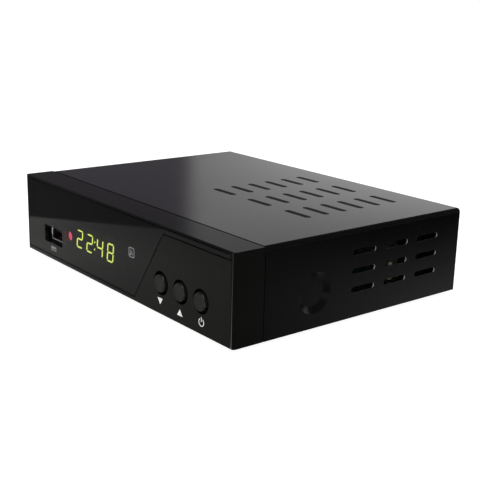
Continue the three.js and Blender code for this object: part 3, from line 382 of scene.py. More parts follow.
sheltered = bearing.step(TENT_SPLIT - 0.5, TENT_SPLIT + 0.9) * bearing.step(250, 235)
away = (bearing.step(110, 90) * bearing.step(60, 70)).most(bearing.step(235, 250) * bearing.step(335, 325))
beside = bearing.step(64, 58).most(bearing.step(328, 336))
wall = backlight + away * (AWAY_TONE - backlight)
wall = wall + beside * (BESIDE_TONE - wall)
wall = wall + sheltered * (SHELTERED_TONE - wall)
wall = wall + rise.step(19, 27) * (OVERHEAD_TONE - wall)
window = bearing.step(292, 298) * bearing.step(316, 310) * rise.step(18, 23) * rise.step(66, 60)
wall = wall + window * (WINDOW_TONE - wall)
tint = tent_paint.mix(sheltered, (1, 1, 1), (0.95, 0.87, 1))
glowing(tent, tent_paint, tint, wall)
print("two lamps, a floor card and a tent")

# %% [markdown]
# ## Surfaces from rings
# Most small pieces are rings of points joined to a skin. A turned piece is one circle for each
# point of its profile; a printed mark is its outline at two depths. `eased` rounds the corners of
# an outline or a profile first, because no moulded or turned corner is truly sharp.

# %% Eased outlines
def eased(points, reach, steps=4, closed=False):
    """Near a corner c the line follows (1-t)^2 a + 2t(1-t) c + t^2 b, where a and b lie on the two
    edges, each a reach away from c or at most half an edge away."""
    points = np.asarray(points, float)
    before = np.roll(points, 1, axis=0) - points
    after = np.roll(points, -1, axis=0) - points
    lengths = [np.linalg.norm(edge, axis=1) for edge in (before, after)]
    shares = [np.minimum(reach, length / 2) / np.maximum(length, 1e-9) for length in lengths]
    a = points + before * shares[0][:, None]
    b = points + after * shares[1][:, None]
    t = np.linspace(0, 1, steps)[:, None, None]
    curve = (1 - t) ** 2 * a + 2 * t * (1 - t) * points + t**2 * b
    curve = curve.transpose(1, 0, 2).reshape(-1, points.shape[1])
    if closed:
        return curve
    return np.concatenate([points[:1], curve[steps:-steps], points[-1:]])


def in_frame(points):
    """Millimetres of the case as metres of the part."""
    return (np.asarray(points, float) + (0, front_y, underside_z)) * MM


def cad_box(node):
    """A CAD node's lowest and highest corners in millimetres of the case."""
    return [np.array(corner) / MM - (0, front_y, underside_z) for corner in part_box(node)]


# %% Skins
SHARP_TURN = math.radians(40)


def tidy(mesh):
    """Merges doubled points, points the faces outwards, and smooths all but the sharp turns."""
    work = bmesh.new()
    work.from_mesh(mesh)
    bmesh.ops.remove_doubles(work, verts=work.verts, dist=1e-7)
    bmesh.ops.recalc_face_normals(work, faces=work.faces)
    work.to_mesh(mesh)
    work.free()
    mesh.shade_smooth()
    mesh.set_sharp_from_angle(angle=SHARP_TURN)


def skin(name, rings, loop=False):
    """Joins each ring of points to the next by four-sided faces and closes the two ends.
    rings has the shape (copies, rings, points, 3) in millimetres; loop joins the last to the first."""
    rings = in_frame(rings)
    if rings.ndim == 3:
        rings = rings[None]
    index = np.arange(rings[..., 0].size).reshape(rings.shape[:3])
    here, after = (index, np.roll(index, -1, axis=1)) if loop else (index[:, :-1], index[:, 1:])
    corners = [here, np.roll(here, -1, axis=2), np.roll(after, -1, axis=2), after]
    faces = np.stack(corners, axis=-1).reshape(-1, 4).tolist()
    if not loop:
        faces += index[:, 0, ::-1].tolist() + index[:, -1].tolist()
    piece = meshed(name, rings.reshape(-1, 3).tolist(), faces)
    tidy(piece.data)
    return piece


AXES = {"y": np.array([(1, 0, 0), (0, 0, 1), (0, 1, 0)]), "z": np.eye(3)}


def circles(profile, centre, axis, sides):
    """The point for profile point (r, h) and angle t is centre + r cos t across + r sin t up + h along."""
    across, up, along = AXES[axis]
    radius, height = np.asarray(profile, float).T
    angle = np.linspace(0, 2 * np.pi, sides, endpoint=False)
    round_about = np.cos(angle)[:, None] * across + np.sin(angle)[:, None] * up
    return np.asarray(centre, float) + radius[:, None, None] * round_about + height[:, None, None] * along


def turned(name, profile, centre, axis="y", sides=48, loop=False):
    """A profile of (radius, height) points carried once round an axis."""
    return skin(name, circles(profile, centre, axis, sides), loop)


def pressed(outlines, low, high):
    """Outlines given as (x, z) become plates from low to high in y: each is its outline, repeated at
    both depths."""
    across, up, along = AXES["y"]
    outlines = np.asarray(outlines, float)
    if outlines.ndim == 2:
        outlines = outlines[None]
    flat = outlines[..., :1] * across + outlines[..., 1:] * up
    return np.stack([flat + depth * along for depth in (low, high)], axis=1)


print("surface tools ready")

# %% [markdown]
# ## Finished pieces
# `finish` puts a piece on its body and gives it its material. `refined` takes a CAD
# node whose shape is right: it merges the loose triangles, joins the flat areas and softens the
# sharp edges with a small bevel, as pressing, moulding and painting do.

# %% Finish and refined
def finish(piece, recipe, body="case", stands_for=()):
    piece.data.materials.clear()
    piece.data.materials.append(recipe.owner)
    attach(piece, body)
    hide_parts(*stands_for)
    return piece


def refined(node, recipe, edge=0.12, turn=32):
    copy = linked("fine_" + node, frame["nodes"][node].data.copy())
    work = bmesh.new()
    work.from_mesh(copy.data)
    bmesh.ops.remove_doubles(work, verts=work.verts, dist=2e-6)
    bmesh.ops.dissolve_limit(work, angle_limit=math.radians(0.5), verts=work.verts, edges=work.edges)
    work.to_mesh(copy.data)
    work.free()
    copy.data.shade_smooth()
    copy.data.set_sharp_from_angle(angle=math.radians(turn))
    bevel = copy.modifiers.new("soft_edges", "BEVEL")
    bevel.width = edge * MM
    bevel.segments = 2
    bevel.limit_method = "ANGLE"
    bevel.angle_limit = math.radians(turn)
    bevel.harden_normals = True
    flat = copy.modifiers.new("flat_stays_flat", "WEIGHTED_NORMAL")
    flat.keep_sharp = True
    flat.weight = 90
    return finish(copy, recipe, body_named[node], (node,))


# %% [markdown]
# ## The painted case
# The cover and the chassis are sheet steel with a semi-gloss black lacquer. Sprayed lacquer has a
# slight orange peel, a few dust specks and a dull bloom where it is handled, and it is duller on the
# slanted walls of the two pressed dishes. The cover keeps its CAD shape, with its bends, slots and
# dishes, and gets rounded cut edges. The rear ends of the side slots and, faintly, the walls of the
# top slots are coloured pale steel: a painted highlight where they face the front.

# %% Case paint
case_paint = material("case_paint", Specular_IOR_Level=0.42)
paint_place = case_paint.place()
paint_x, paint_y, paint_z = case_paint.axes(paint_place)
bloom = case_paint.noise(paint_place, 0.045, 4.0)
specks = case_paint.cells(paint_place, 0.55).step(0.045, 0.02)
fine = case_paint.noise(paint_place, 3.5, 1.0)
from_middle = abs(paint_x)
# Painted highlight: the rear ends of the side slots, which face the front, and faintly the walls of the top
# slots get a pale steel colour.
in_side_sheet = from_middle.step(69.5, 69.7) * from_middle.step(69.97, 69.9)
in_side_sheet = in_side_sheet * paint_y.step(47, 48) * paint_y.step(98, 97)
in_side_sheet = in_side_sheet * paint_z.step(29, 28) * paint_z.step(4, 5)
ROW_START, ROW_PITCH = 56.6, 15.94
row_share = (paint_y - ROW_START) / ROW_PITCH + 0.5
slot_end = row_share.fraction().step(0.8, 0.85)
in_top_sheet = paint_z.step(30.55, 30.7) * paint_z.step(31.47, 31.4) * from_middle.step(66, 65)
in_top_sheet = in_top_sheet * paint_y.step(42, 43) * paint_y.step(98, 97)
painted_slot_highlight = in_side_sheet * (slot_end * 0.95 + 0.05) + in_top_sheet * 0.07
colours = case_paint.mix(bloom * 0.5, (0.002, 0.0018, 0.0021), (0.0032, 0.0029, 0.0034))
lacquer = case_paint.mix(specks * 0.5, colours, (0.05, 0.05, 0.048))
DISH_Y, DISH_Z = 34.03, 12.3
from_dish = distance(paint_y - DISH_Y, paint_z - DISH_Z)
dish_wall = from_dish.step(7.6, 7.2) * from_dish.step(5.0, 5.3) * from_middle.step(67, 68)
case_paint.fill(case_paint.shader, {
    "Base Color": case_paint.mix(painted_slot_highlight, lacquer, (0.75, 0.75, 0.72)),
    "Roughness": bloom * 0.06 + 0.1 + specks * 0.25 + fine * 0.02 + painted_slot_highlight * 0.15 + dish_wall * 0.1,
    "Metallic": painted_slot_highlight * 0.3,
    "Normal": case_paint.bump(case_paint.noise(paint_place, 0.9, 2.0) * 0.004 + specks * 0.006),
})
# Painted shade: the cover's front strip on top, at the joint with the bezel, is mixed with matt black.
case_paint.dulled(paint_y.step(12.95, 12.75) * paint_z.step(31.0, 31.2))
refined("top_cover", case_paint, 0.1, turn=26)
refined("bottom_chassis", case_paint)

# %% [markdown]
# ## The moulded front
# The front is black ABS with a polished face. Its gloss is lower than the lens plate's, so that the
# plate reads as a separate window.

# %% Front plastic
front_plastic = material("front_plastic", Specular_IOR_Level=0.26)
front_place = front_plastic.place()
front_x, front_back, front_z = front_plastic.axes(front_place)
front_bloom = front_plastic.noise(front_place, 0.045, 4.0)
front_grain = front_plastic.noise(front_place, 3.0, 2.0)
top_face = front_z.step(31.1, 31.4)
joint = front_back.step(11.95, 12.1) * front_z.step(30.9, 31.1)
from_centre = abs(front_x)
recess = front_back.step(0.15, 0.3) * front_back.step(2.4, 2.0) * from_centre.step(69.6, 69.3)
recess = recess * front_z.step(31.3, 31.0) * front_z.step(0.1, 0.4)
flank = from_centre.step(69.6, 69.9)
front_plastic.fill(front_plastic.shader, {
    "Base Color": front_plastic.mix(front_bloom, (0.0036, 0.0036, 0.0034), (0.0056, 0.0056, 0.0052)),
    "Roughness": front_bloom * 0.05 + front_grain * 0.03 + 0.1,
    "Normal": front_plastic.bump(front_grain * 0.003),
})
# Painted shade: the bezel's top at the joint with the cover and the walls of the pocket round the lens are
# mixed with matt black; the top face and the flanks a little, for their duller finish.
front_plastic.dulled((top_face * 0.39).most(joint * 0.9).most(recess * 0.85).most(flank * 0.25))
refined("front_bezel", front_plastic, 0.18)

# %% [markdown]
# ## The smoked lens
# The plate is dark smoked acrylic over the black front, which is cut open for the display, the lamp
# and the infrared receiver. The smoke is an Alpha below 1: it lets through the light of the figures
# and the lamp, and hides what does not shine. A painted red glow, an emission on the plate's face
# round the lamp, stands for the lamp's light spreading in the plastic.

# %% Lens material
LAMP_PLACE = (-36.2, 0, 12.3)
smoked = material("smoked_lens", Specular_IOR_Level=0.6, Emission_Strength=1.0)
lens_place = smoked.place()
lens_x, lens_y, lens_z = smoked.axes(lens_place)
from_lamp = distance(lens_x - LAMP_PLACE[0], lens_z - LAMP_PLACE[2])
# Painted glow: a red emission on the plate's face round the lamp.
painted_lamp_glow = from_lamp.step(3.6, 0.8) * lens_y.step(1.0, 0.5)
smear = smoked.noise(lens_place, 0.05, 3.0)
smoked.fill(smoked.shader, {
    "Base Color": smoked.mix(smear * 0.4, (0.0022, 0.0021, 0.0025), (0.0034, 0.0034, 0.0034)),
    "Roughness": smear * 0.02 + 0.025,
    "Alpha": 0.72 - lens_y.step(0.6, 1.2) * 0.47,
    "Emission Color": smoked.mix(painted_lamp_glow, (0, 0, 0), (0.028, 0.001, 0.004)),
    "Normal": smoked.bump(smoked.noise(lens_place, 0.12, 1.0) * 0.006),
})
refined("front_lens", smoked)
print("case, front and lens refined")

# %% [markdown]
# ## Push buttons
# Each cap is turned from one profile: a face dished a little for the finger, a round shoulder, the
# shaft in the bezel's hole, the flange that stops it from falling out, and the boss on the switch.

# %% Button caps
button_plastic = material("button_plastic", Specular_IOR_Level=0.4)
button_place = button_plastic.place()
_, cap_depth, _ = button_plastic.axes(button_place)
worn = cap_depth.step(-0.765, -0.74) * cap_depth.step(0.2, -0.2)
button_drift = button_plastic.noise(button_place, 0.4)
button_grain = button_plastic.noise(button_place, 6.0, 2.0)
button_plastic.fill(button_plastic.shader, {
    "Base Color": button_plastic.mix(button_drift, (0.008, 0.008, 0.0075), (0.013, 0.013, 0.012)),
    "Roughness": (button_grain * 0.1 + 0.2) * (1 - worn * 0.7),
    "Normal": button_plastic.bump(button_grain * 0.006),
})
CAP_PROFILE = [
    (0, -0.72), (1.4, -0.73), (2.5, -0.78), (2.75, -0.8), (3.0, -0.74), (3.14, -0.58), (3.2, -0.35),
    (3.22, 1.6), (3.85, 2.3), (3.9, 3.3), (4.9, 3.3), (4.9, 4.1), (2.3, 4.1), (2.3, 4.6), (0, 4.6),
]
BUTTON_X = {"down": 30.47, "up": 41.9, "power": 53.33}
BUTTON_Z = 11.33
for name, x in BUTTON_X.items():
    cap = turned("cap_" + name, eased(CAP_PROFILE, 0.1), (x, 0, BUTTON_Z), sides=64)
    finish(cap, button_plastic, body_named["button_" + name], ("button_" + name,))
print(len(BUTTON_X), "button caps turned")

# %% [markdown]
# ## Printed marks
# Under the buttons are a triangle that points down, one that points up, and the standby sign. They
# are pad printed, a few hundredths of a millimetre of white ink, so each is a thin plate.

# %% Marks
INK_PROUD, INK_SUNK = 0.04, 0.01
white_ink = material("white_print", Roughness=0.55)
ink_grain = white_ink.noise(white_ink.place(), 4.0, 3.0)
white_ink.fill(white_ink.shader, {
    "Base Color": white_ink.mix(ink_grain, (0.84, 0.84, 0.83), (0.98, 0.98, 0.97)),
    "Normal": white_ink.bump(ink_grain * 0.01),
})


def triangle(x, z, half_width, height, up):
    """Three corners about a middle; up is 1 when the triangle points up and -1 when it points down."""
    base, tip = z - up * height / 2, z + up * height / 2
    return eased([(x - half_width, base), (x + half_width, base), (x, tip)], 0.1, 3, True)


def arc_band(x, z, radius, stroke, start, end, steps=28):
    """A band along part of a circle: the outer edge forward, then the inner edge back."""
    angle = np.radians(np.linspace(start, end, steps))
    circle = np.stack([np.cos(angle), np.sin(angle)], axis=-1)
    return np.concatenate([circle * (radius + stroke / 2), circle[::-1] * (radius - stroke / 2)]) + (x, z)


def bar(x, z, width, height):
    """The four corners of a rectangle, half its width and half its height from its middle."""
    half = np.array([(-0.5, -0.5), (0.5, -0.5), (0.5, 0.5), (-0.5, 0.5)])
    return half * (width, height) + (x, z)


def printed(name, outlines, ink=white_ink):
    for number, outline in enumerate(outlines):
        plate = skin(f"{name}_{number + 1}", pressed(outline, -INK_PROUD, INK_SUNK))
        finish(plate, ink)


grey_ink = material("grey_print", Roughness=0.5)
grey_drift = grey_ink.noise(grey_ink.place(), 4.0)
grey_ink.fill(grey_ink.shader, {
    "Base Color": grey_ink.mix(grey_drift, (0.26, 0.26, 0.26), (0.42, 0.42, 0.42)),
})
printed("mark_down", [triangle(30.04, 4.79, 1.55, 2.3, -1)])
printed("mark_up", [triangle(41.73, 4.15, 1.55, 2.3, 1)])
printed("mark_standby", [arc_band(53.78, 4.4, 1.3, 0.32, 125, 415), bar(53.78, 5.35, 0.32, 1.6)])


def frame_band(x0, z0, x1, z1, stroke, reach):
    """A rounded rectangle's outline, closed but for a hair: the outer edge forward, then the inner back."""
    x, z, width, height = (x0 + x1) / 2, (z0 + z1) / 2, x1 - x0, z1 - z0
    outer = eased(bar(x, z, width, height), reach, 5, True)
    inset = eased(bar(x, z, width - 2 * stroke, height - 2 * stroke), reach - stroke / 2, 5, True)
    hair = [[edge[0] + (edge[-1] - edge[0]) * 0.003] for edge in (outer, inset)]
    return np.concatenate([outer, *hair, inset[::-1]])


signal_frame = frame_band(10.1, 15.8, 13.7, 19.4, 0.24, 0.9)
signal_bands = [arc_band(10.8, 16.6, radius, 0.24, 4, 86, 10) for radius in (1.0, 1.8)]
signal_dot = arc_band(10.9, 16.7, 0.2, 0.3, 0, 359.9, 10)
printed("mark_signal", [signal_frame, *signal_bands, signal_dot], grey_ink)
socket_frame = frame_band(-49.0, 4.1, -44.8, 5.7, 0.22, 0.3)
printed("mark_socket", [socket_frame, bar(-46.9, 5.1, 2.8, 0.4)], grey_ink)

# %% [markdown]
# ## The clock
# The display shows four seven-segment figures behind the lens. Each lit segment is a thin bar with
# pointed ends; the figures lean a little to the right. The table says which of the seven segments
# each figure lights, in the order top, upper right, lower right, bottom, lower left, upper left,
# middle.

# %% Clock digits
DIGIT_WIDTH = 3.9
DIGIT_HEIGHT = 6.7
DIGIT_STROKE = 0.52
DIGIT_LEAN = 0.12
DIGIT_X = {-28.3: "2", -20.7: "2", -13.1: "4", -5.5: "8"}
DIGIT_Z = 12.9
DIGIT_DEPTHS = (1.62, 1.76)
SEGMENTS = {"2": (0, 1, 6, 4, 3), "4": (5, 6, 1, 2), "8": (0, 1, 2, 3, 4, 5, 6)}
half_w, half_h = DIGIT_WIDTH / 2, DIGIT_HEIGHT / 2
SEGMENT_ENDS = np.array([
    [(-half_w, half_h), (half_w, half_h)],
    [(half_w, half_h), (half_w, 0)],
    [(half_w, 0), (half_w, -half_h)],
    [(half_w, -half_h), (-half_w, -half_h)],
    [(-half_w, -half_h), (-half_w, 0)],
    [(-half_w, 0), (-half_w, half_h)],
    [(-half_w, 0), (half_w, 0)],
])


def segment(ends, stroke, gap=0.2):
    """Six corners of a bar with pointed ends: each point is start + s * along + w * across."""
    start, end = ends
    length = np.linalg.norm(end - start)
    along = (end - start) / length
    across = np.array([-along[1], along[0]])
    half = stroke / 2
    near, far = gap + half, length - gap - half
    reach = [(gap, 0), (near, half), (far, half), (length - gap, 0), (far, -half), (near, -half)]
    return start + np.array([s * along + w * across for s, w in reach])


def leaning(outline, x, z):
    """Moves a figure's outline to its place and leans it: x grows with the height."""
    return np.column_stack([outline[:, 0] + outline[:, 1] * DIGIT_LEAN + x, outline[:, 1] + z])


lit = material("display_digits", Roughness=0.4, Emission_Strength=4.2)
lit_grain = lit.noise(lit.place(), 1.5)
lit.fill(lit.shader, {
    "Base Color": lit.mix(lit_grain, (0.3, 0.35, 0.08), (0.35, 0.4, 0.1)),
    "Emission Color": lit.mix(lit_grain, (0.74, 0.88, 0.12), (0.8, 0.92, 0.2)),
})
lit_ends = [(SEGMENT_ENDS[s], x) for x, digit in DIGIT_X.items() for s in SEGMENTS[digit]]
figures = [leaning(segment(ends, DIGIT_STROKE), x, DIGIT_Z) for ends, x in lit_ends]
finish(skin("clock_digits", pressed(figures, *DIGIT_DEPTHS)), lit)
dots = [leaning(bar(0, z, 0.5, 0.6), -16.9, DIGIT_Z) for z in (1.45, -1.45)]
finish(skin("clock_dots", pressed(dots, *DIGIT_DEPTHS)), lit)
print(len(figures), "lit segments")

# %% [markdown]
# ## The lamp and the receiver
# The lamp is a flat-topped red epoxy pin on its flange. The receiver is a dark block with a dome.

# %% Lamp and receiver
lamp_red = material("lamp_red", Roughness=0.15, Emission_Strength=3.3)
lamp_grain = lamp_red.noise(lamp_red.place(), 1.0)
lamp_red.fill(lamp_red.shader, {
    "Base Color": lamp_red.mix(lamp_grain, (0.4, 0.02, 0.03), (0.5, 0.03, 0.05)),
    "Emission Color": lamp_red.mix(lamp_grain, (0.85, 0.07, 0.15), (0.95, 0.11, 0.22)),
})
LAMP_PROFILE = [
    (0, 2.0), (1.5, 2.02), (1.75, 2.12), (1.82, 2.3), (1.82, 8.1), (1.9, 8.1), (1.9, 9.1), (0, 9.1),
]
lamp_pin = turned("standby_lamp", eased(LAMP_PROFILE, 0.1), LAMP_PLACE, sides=40)
finish(lamp_pin, lamp_red, stands_for=("status_lamp",))


def moulded(name, colour, gloss, grain=5.0, relief=0.01):
    """Plain plastic: a fine moulded grain, and a colour that drifts a little."""
    recipe = material(name)
    place = recipe.place()
    fine = recipe.noise(place, grain, 2.0)
    drift = recipe.noise(place, 0.3, 3.0)
    recipe.fill(recipe.shader, {
        "Base Color": recipe.mix(drift, tuple(c * 0.8 for c in colour), tuple(c * 1.25 for c in colour)),
        "Roughness": fine * 0.15 + gloss,
        "Normal": recipe.bump(fine * relief),
    })
    return recipe


black_plastic = moulded("black_plastic", (0.012, 0.012, 0.012), 0.4)
white_plastic = moulded("white_plastic", (0.62, 0.6, 0.54), 0.35)
rubber = moulded("foot_rubber", (0.012, 0.012, 0.012), 0.75, 2.5, 0.04)
refined("display_module", black_plastic, 0.15)
refined("infrared_receiver", black_plastic, 0.15)
print("lamp, receiver and display ready")

# %% [markdown]
# ## Metals
# Tin plate is dull and mottled, nickel plate is bright, and the screws are blackened steel. All
# three are one recipe: a metal whose roughness drifts, with fine scratches along one direction.

# %% Metal finishes
def plated(name, colour, gloss, scratch=(0.2, 0.2, 6.0), relief=0.004):
    recipe = material(name, Metallic=1.0)
    place = recipe.place()
    mottled = recipe.noise(place, 0.5, 4.0)
    lines = recipe.noise(recipe.stretch(place, scratch), 1.5, 2.0)
    recipe.fill(recipe.shader, {
        "Base Color": recipe.mix(mottled, tuple(c * 0.82 for c in colour), colour),
        "Roughness": mottled * 0.12 + lines * 0.08 + gloss,
        "Normal": recipe.bump(lines * relief),
    })
    return recipe


tin = plated("tinned_steel", (0.66, 0.67, 0.67), 0.24)
nickel = plated("nickel_plate", (0.72, 0.7, 0.65), 0.16, (6.0, 0.2, 6.0))
gold = plated("contact_gold", (0.85, 0.6, 0.24), 0.2)
copper = plated("winding_copper", (0.72, 0.33, 0.16), 0.3)
screw_steel = plated("screw_steel", (0.09, 0.09, 0.095), 0.28)
aluminium = plated("sink_aluminium", (0.14, 0.14, 0.145), 0.36, (6.0, 0.3, 0.3), 0.01)

# %% [markdown]
# ## The USB socket
# Behind its opening in the lens sit a folded steel shell and a plastic tongue. The shell's front rim
# carries a painted highlight: it is coloured pale and not as metal, paler above than below, because
# as metal it would mirror the dark front. The shell has spring leaves that press on a plug, and the
# tongue carries four contacts on its underside.

# %% USB socket
USB_X = -46.9
USB_Z = 10.3
usb_steel = material("usb_steel", Roughness=0.35)
_, steel_y, steel_z = usb_steel.axes(usb_steel.place())
shell_front = cad_box("usb_shell")[0][1]
# Painted highlight: the shell's front rim is coloured pale and not metal, paler above than below.
rim_highlight = steel_y.step(shell_front + 0.5, shell_front + 0.2)
rim_lit_above = steel_z.step(USB_Z - 1.4, USB_Z - 0.6)
rim_highlight_colour = usb_steel.mix(rim_lit_above, (0.3, 0.3, 0.3), (0.98, 0.98, 0.97))
usb_steel.fill(usb_steel.shader, {
    "Base Color": usb_steel.mix(rim_highlight, (0.2, 0.17, 0.16), rim_highlight_colour),
    "Metallic": 1 - rim_highlight,
    "Normal": usb_steel.bump(usb_steel.noise(usb_steel.place(), 2.0) * 0.01),
})
refined("usb_shell", usb_steel, 0.1)
refined("usb_tongue", black_plastic, 0.12)


def square_to(path):
    """For each point of a path, the unit vector square to the path's direction there."""
    along = np.gradient(path, axis=0)
    along /= np.linalg.norm(along, axis=1, keepdims=True)
    return np.column_stack([-along[:, 1], along[:, 0]])


def strips(name, places, width, path, thick=0.15):
    """A flat strip carried along a path of (y, z) points, once for each x: each ring is the strip's
    four-cornered section, set square to the path."""
    path = np.asarray(path, float)
    across = square_to(path) * thick / 2
    corners = [(-width / 2, 1), (width / 2, 1), (width / 2, -1), (-width / 2, -1)]
    rings = []
    for x in places:
        level = np.full(len(path), x)
        section = [np.column_stack([level + dx, path + side * across]) for dx, side in corners]
        rings.append(np.stack(section, axis=1))
    return skin(name, np.stack(rings))


LEAF_START, LEAF_LENGTH = 4.2, 7.8
leaf_y = np.linspace(LEAF_START, LEAF_START + LEAF_LENGTH, 14)
leaf_dip = 0.55 * np.sin((leaf_y - LEAF_START) / LEAF_LENGTH * np.pi)
for side, name in ((1, "top"), (-1, "bottom")):
    leaf_path = np.column_stack([leaf_y, USB_Z + side * (2.48 - leaf_dip)])
    finish(strips(f"usb_leaves_{name}", (USB_X - 3.0, USB_X + 3.0), 1.8, leaf_path), tin)
contact_path = [(4.8, 10.22), (6.0, 10.2), (9.0, 10.2), (12.5, 10.22)]
finish(strips("usb_contacts", USB_X + np.array([-3.5, -1.0, 1.0, 3.5]), 1.0, contact_path), gold)

# %% [markdown]
# ## Screws
# A pan-head screw is one surface too: its radius and height run along the head, down the side and
# down the shank. The cross recess is a dent in the head that depends on both parameters, and the
# thread is a ridge that climbs as the angle goes round.

# %% Screws
THREAD_PITCH = 0.5


def smooth(value, low, high):
    """0 below low, 1 above high, and 3t^2 - 2t^3 between, where t is the share of the way."""
    t = np.clip((value - low) / (high - low), 0, 1)
    return t * t * (3 - 2 * t)


def screw_rings(head_radius, head_height, shank_radius, length, sides=48):
    """Rings down the screw. On the head h = H (1 - 0.5 (r/R)^4) less the recess, which is the larger
    of two crossed bars; on the shank r = r0 (1 - 0.16 ridge) with ridge a wave of h/pitch + t/2pi."""
    angle = np.linspace(0, 2 * np.pi, sides, endpoint=False)
    across, up = np.cos(angle), np.sin(angle)
    shares = np.concatenate([np.linspace(0, 0.62, 16), [0.72, 0.82, 0.9, 0.96, 0.99, 1.0]])[:, None]
    x, y = head_radius * shares * across, head_radius * shares * up
    reach, half = head_radius * 0.54, head_radius * 0.13
    arms = [
        smooth(-abs(a), -reach, -reach + 0.3) * smooth(-abs(b), -half - 0.1, -half + 0.05)
        for a, b in ((x, y), (y, x))
    ]
    height = head_height * (1 - 0.5 * shares**4 - 0.62 * np.maximum(*arms))
    head = np.stack([x, y, height], axis=-1)
    under = np.stack([head_radius * across, head_radius * up, 0 * angle], axis=-1)[None]
    shank_h = np.linspace(0, -length, int(length * 10))[:, None]
    wave = np.abs(((shank_h / THREAD_PITCH + angle / (2 * np.pi)) % 1) * 2 - 1)
    shank_r = shank_radius * (1 - 0.16 * wave * smooth(-shank_h, 0.3, 0.8))
    shank = np.stack([shank_r * across, shank_r * up, np.broadcast_to(shank_h, wave.shape)], axis=-1)
    return np.concatenate([head, under, shank])


def screw(node, facing_back, sizes, turn):
    """Puts a screw where the CAD has it: its head's underside is at the seat."""
    low, high = cad_box(node)
    middle = (low + high) / 2
    rings = screw_rings(*sizes)
    c, s = math.cos(turn), math.sin(turn)
    rings = rings @ np.array([[c, s, 0], [-s, c, 0], [0, 0, 1]])
    if facing_back:
        rings = np.stack([rings[..., 0], rings[..., 2], -rings[..., 1]], axis=-1)
        seat = (middle[0], high[1] - sizes[1], middle[2])
    else:
        seat = (middle[0], middle[1], high[2] - sizes[1])
    finish(skin("fine_" + node, rings + seat), screw_steel, stands_for=(node,))


MACHINE_SCREW = (2.8, 1.9, 1.5, 6.0)
TAP_SCREW = (2.1, 1.4, 1.1, 6.0)
for turn, node in enumerate(sorted(n for n in frame["nodes"] if "_screw_" in n)):
    screw_sizes = TAP_SCREW if node.startswith("front_board") else MACHINE_SCREW
    screw(node, not node.startswith("main_board"), screw_sizes, 0.7 * turn)
print("nine screws turned")

# %% [markdown]
# ## Feet
# A stick-on foot is soft rubber, a little wider at the top than where it stands, with a rounded rim
# and shallow rings on its sole.

# %% Feet
FOOT_PROFILE = [
    (0, -1.4), (1.2, -1.4), (1.5, -1.5), (2.4, -1.5), (2.7, -1.4), (3.3, -1.4), (3.6, -1.5), (4.5, -1.5),
    (5.0, -0.75), (5.0, 0), (0, 0),
]


def axis_place(node):
    """The point of the case's underside that lies under the middle of a CAD node."""
    low, high = cad_box(node)
    return (low + high) / 2 * (1, 1, 0)


for node in sorted(n for n in frame["nodes"] if n.startswith("foot_")):
    foot = turned("fine_" + node, eased(FOOT_PROFILE, 0.25), axis_place(node), "z", 56)
    finish(foot, rubber, stands_for=(node,))

# %% [markdown]
# ## Sockets at the back
# The two aerial sockets are turned nickel-plated barrels; a white insulator holds the middle tube or
# pin. The other sockets are mouldings and folded shells with their contacts.

# %% Aerial sockets
AERIAL_Z = 13.8
BACK_Y = 106.0
barrel_in = [
    (0, -1.1), (6.0, -1.1), (6.0, 1.5), (4.75, 1.5), (4.75, 2.6), (4.55, 2.9), (4.55, 3.3), (4.75, 3.6),
    (4.75, 10.6), (4.35, 11.0), (3.6, 11.0), (3.6, 2.0), (0, 2.0),
]
tube_in = [(0, 1.9), (1.6, 1.9), (1.6, 9.5), (0.7, 9.5), (0.7, 4.5), (0, 4.5)]
barrel_out = [
    (0, -1.1), (6.0, -1.1), (6.0, 1.5), (4.75, 1.5), (4.75, 11.0), (4.1, 11.0), (4.1, 2.0), (0, 2.0),
]
pin_out = [(0, 1.9), (1.1, 1.9), (1.1, 8.9), (0.7, 9.7), (0, 10.0)]
insulator = [(0, 2.0), (3.5, 2.0), (3.5, 2.9), (2.4, 3.1), (0, 3.1)]
AERIALS = {"aerial_input": (45, barrel_in, tube_in), "aerial_output": (27, barrel_out, pin_out)}
for name, (x, barrel, core) in AERIALS.items():
    centre = (x, BACK_Y, AERIAL_Z)
    outside = turned("fine_" + name, eased(barrel, 0.15), centre, sides=64)
    finish(outside, nickel, stands_for=(name,))
    finish(turned(name + "_core", eased(core, 0.12), centre, sides=32), nickel)
    filling = turned(name + "_insulator", eased(insulator, 0.15), centre)
    finish(filling, white_plastic)

# %% The other sockets
refined("hdmi_shell", tin, 0.1)
refined("hdmi_tongue", black_plastic, 0.1)
HDMI_Z = 10.1
for side, name, count in ((1, "top", 10), (-1, "bottom", 9)):
    pin_x = np.arange(count) - (count - 1) / 2
    pin_z = HDMI_Z + side * 0.78
    pin_path = [(99.0, pin_z), (102.0, pin_z), (105.2, pin_z)]
    finish(strips(f"hdmi_contacts_{name}", pin_x, 0.45, pin_path, 0.12), gold)
refined("av_jack", black_plastic, 0.15)
refined("dc_jack", black_plastic, 0.15)
AV_PLACE, DC_PLACE = (-20, BACK_Y, 10.8), (-48, BACK_Y, 12.8)
RING_PROFILE = [(1.78, 0.6), (2.35, 0.6), (2.35, 1.25), (1.78, 1.25)]
PIN_PROFILE = [(0, -9.0), (1.04, -9.0), (1.04, -1.3), (0.7, -0.9), (0, -0.9)]
av_ring = turned("av_ring", eased(RING_PROFILE, 0.1, 4, True), AV_PLACE, sides=40, loop=True)
finish(av_ring, nickel)
finish(turned("dc_pin", eased(PIN_PROFILE, 0.1), DC_PLACE, sides=32), nickel)
print("sockets ready")

# %% [markdown]
# ## Boards
# A board is glass laminate under green solder mask. The mask shows the copper traces below as
# slightly lighter lines, and bare tinned pads where parts are soldered.

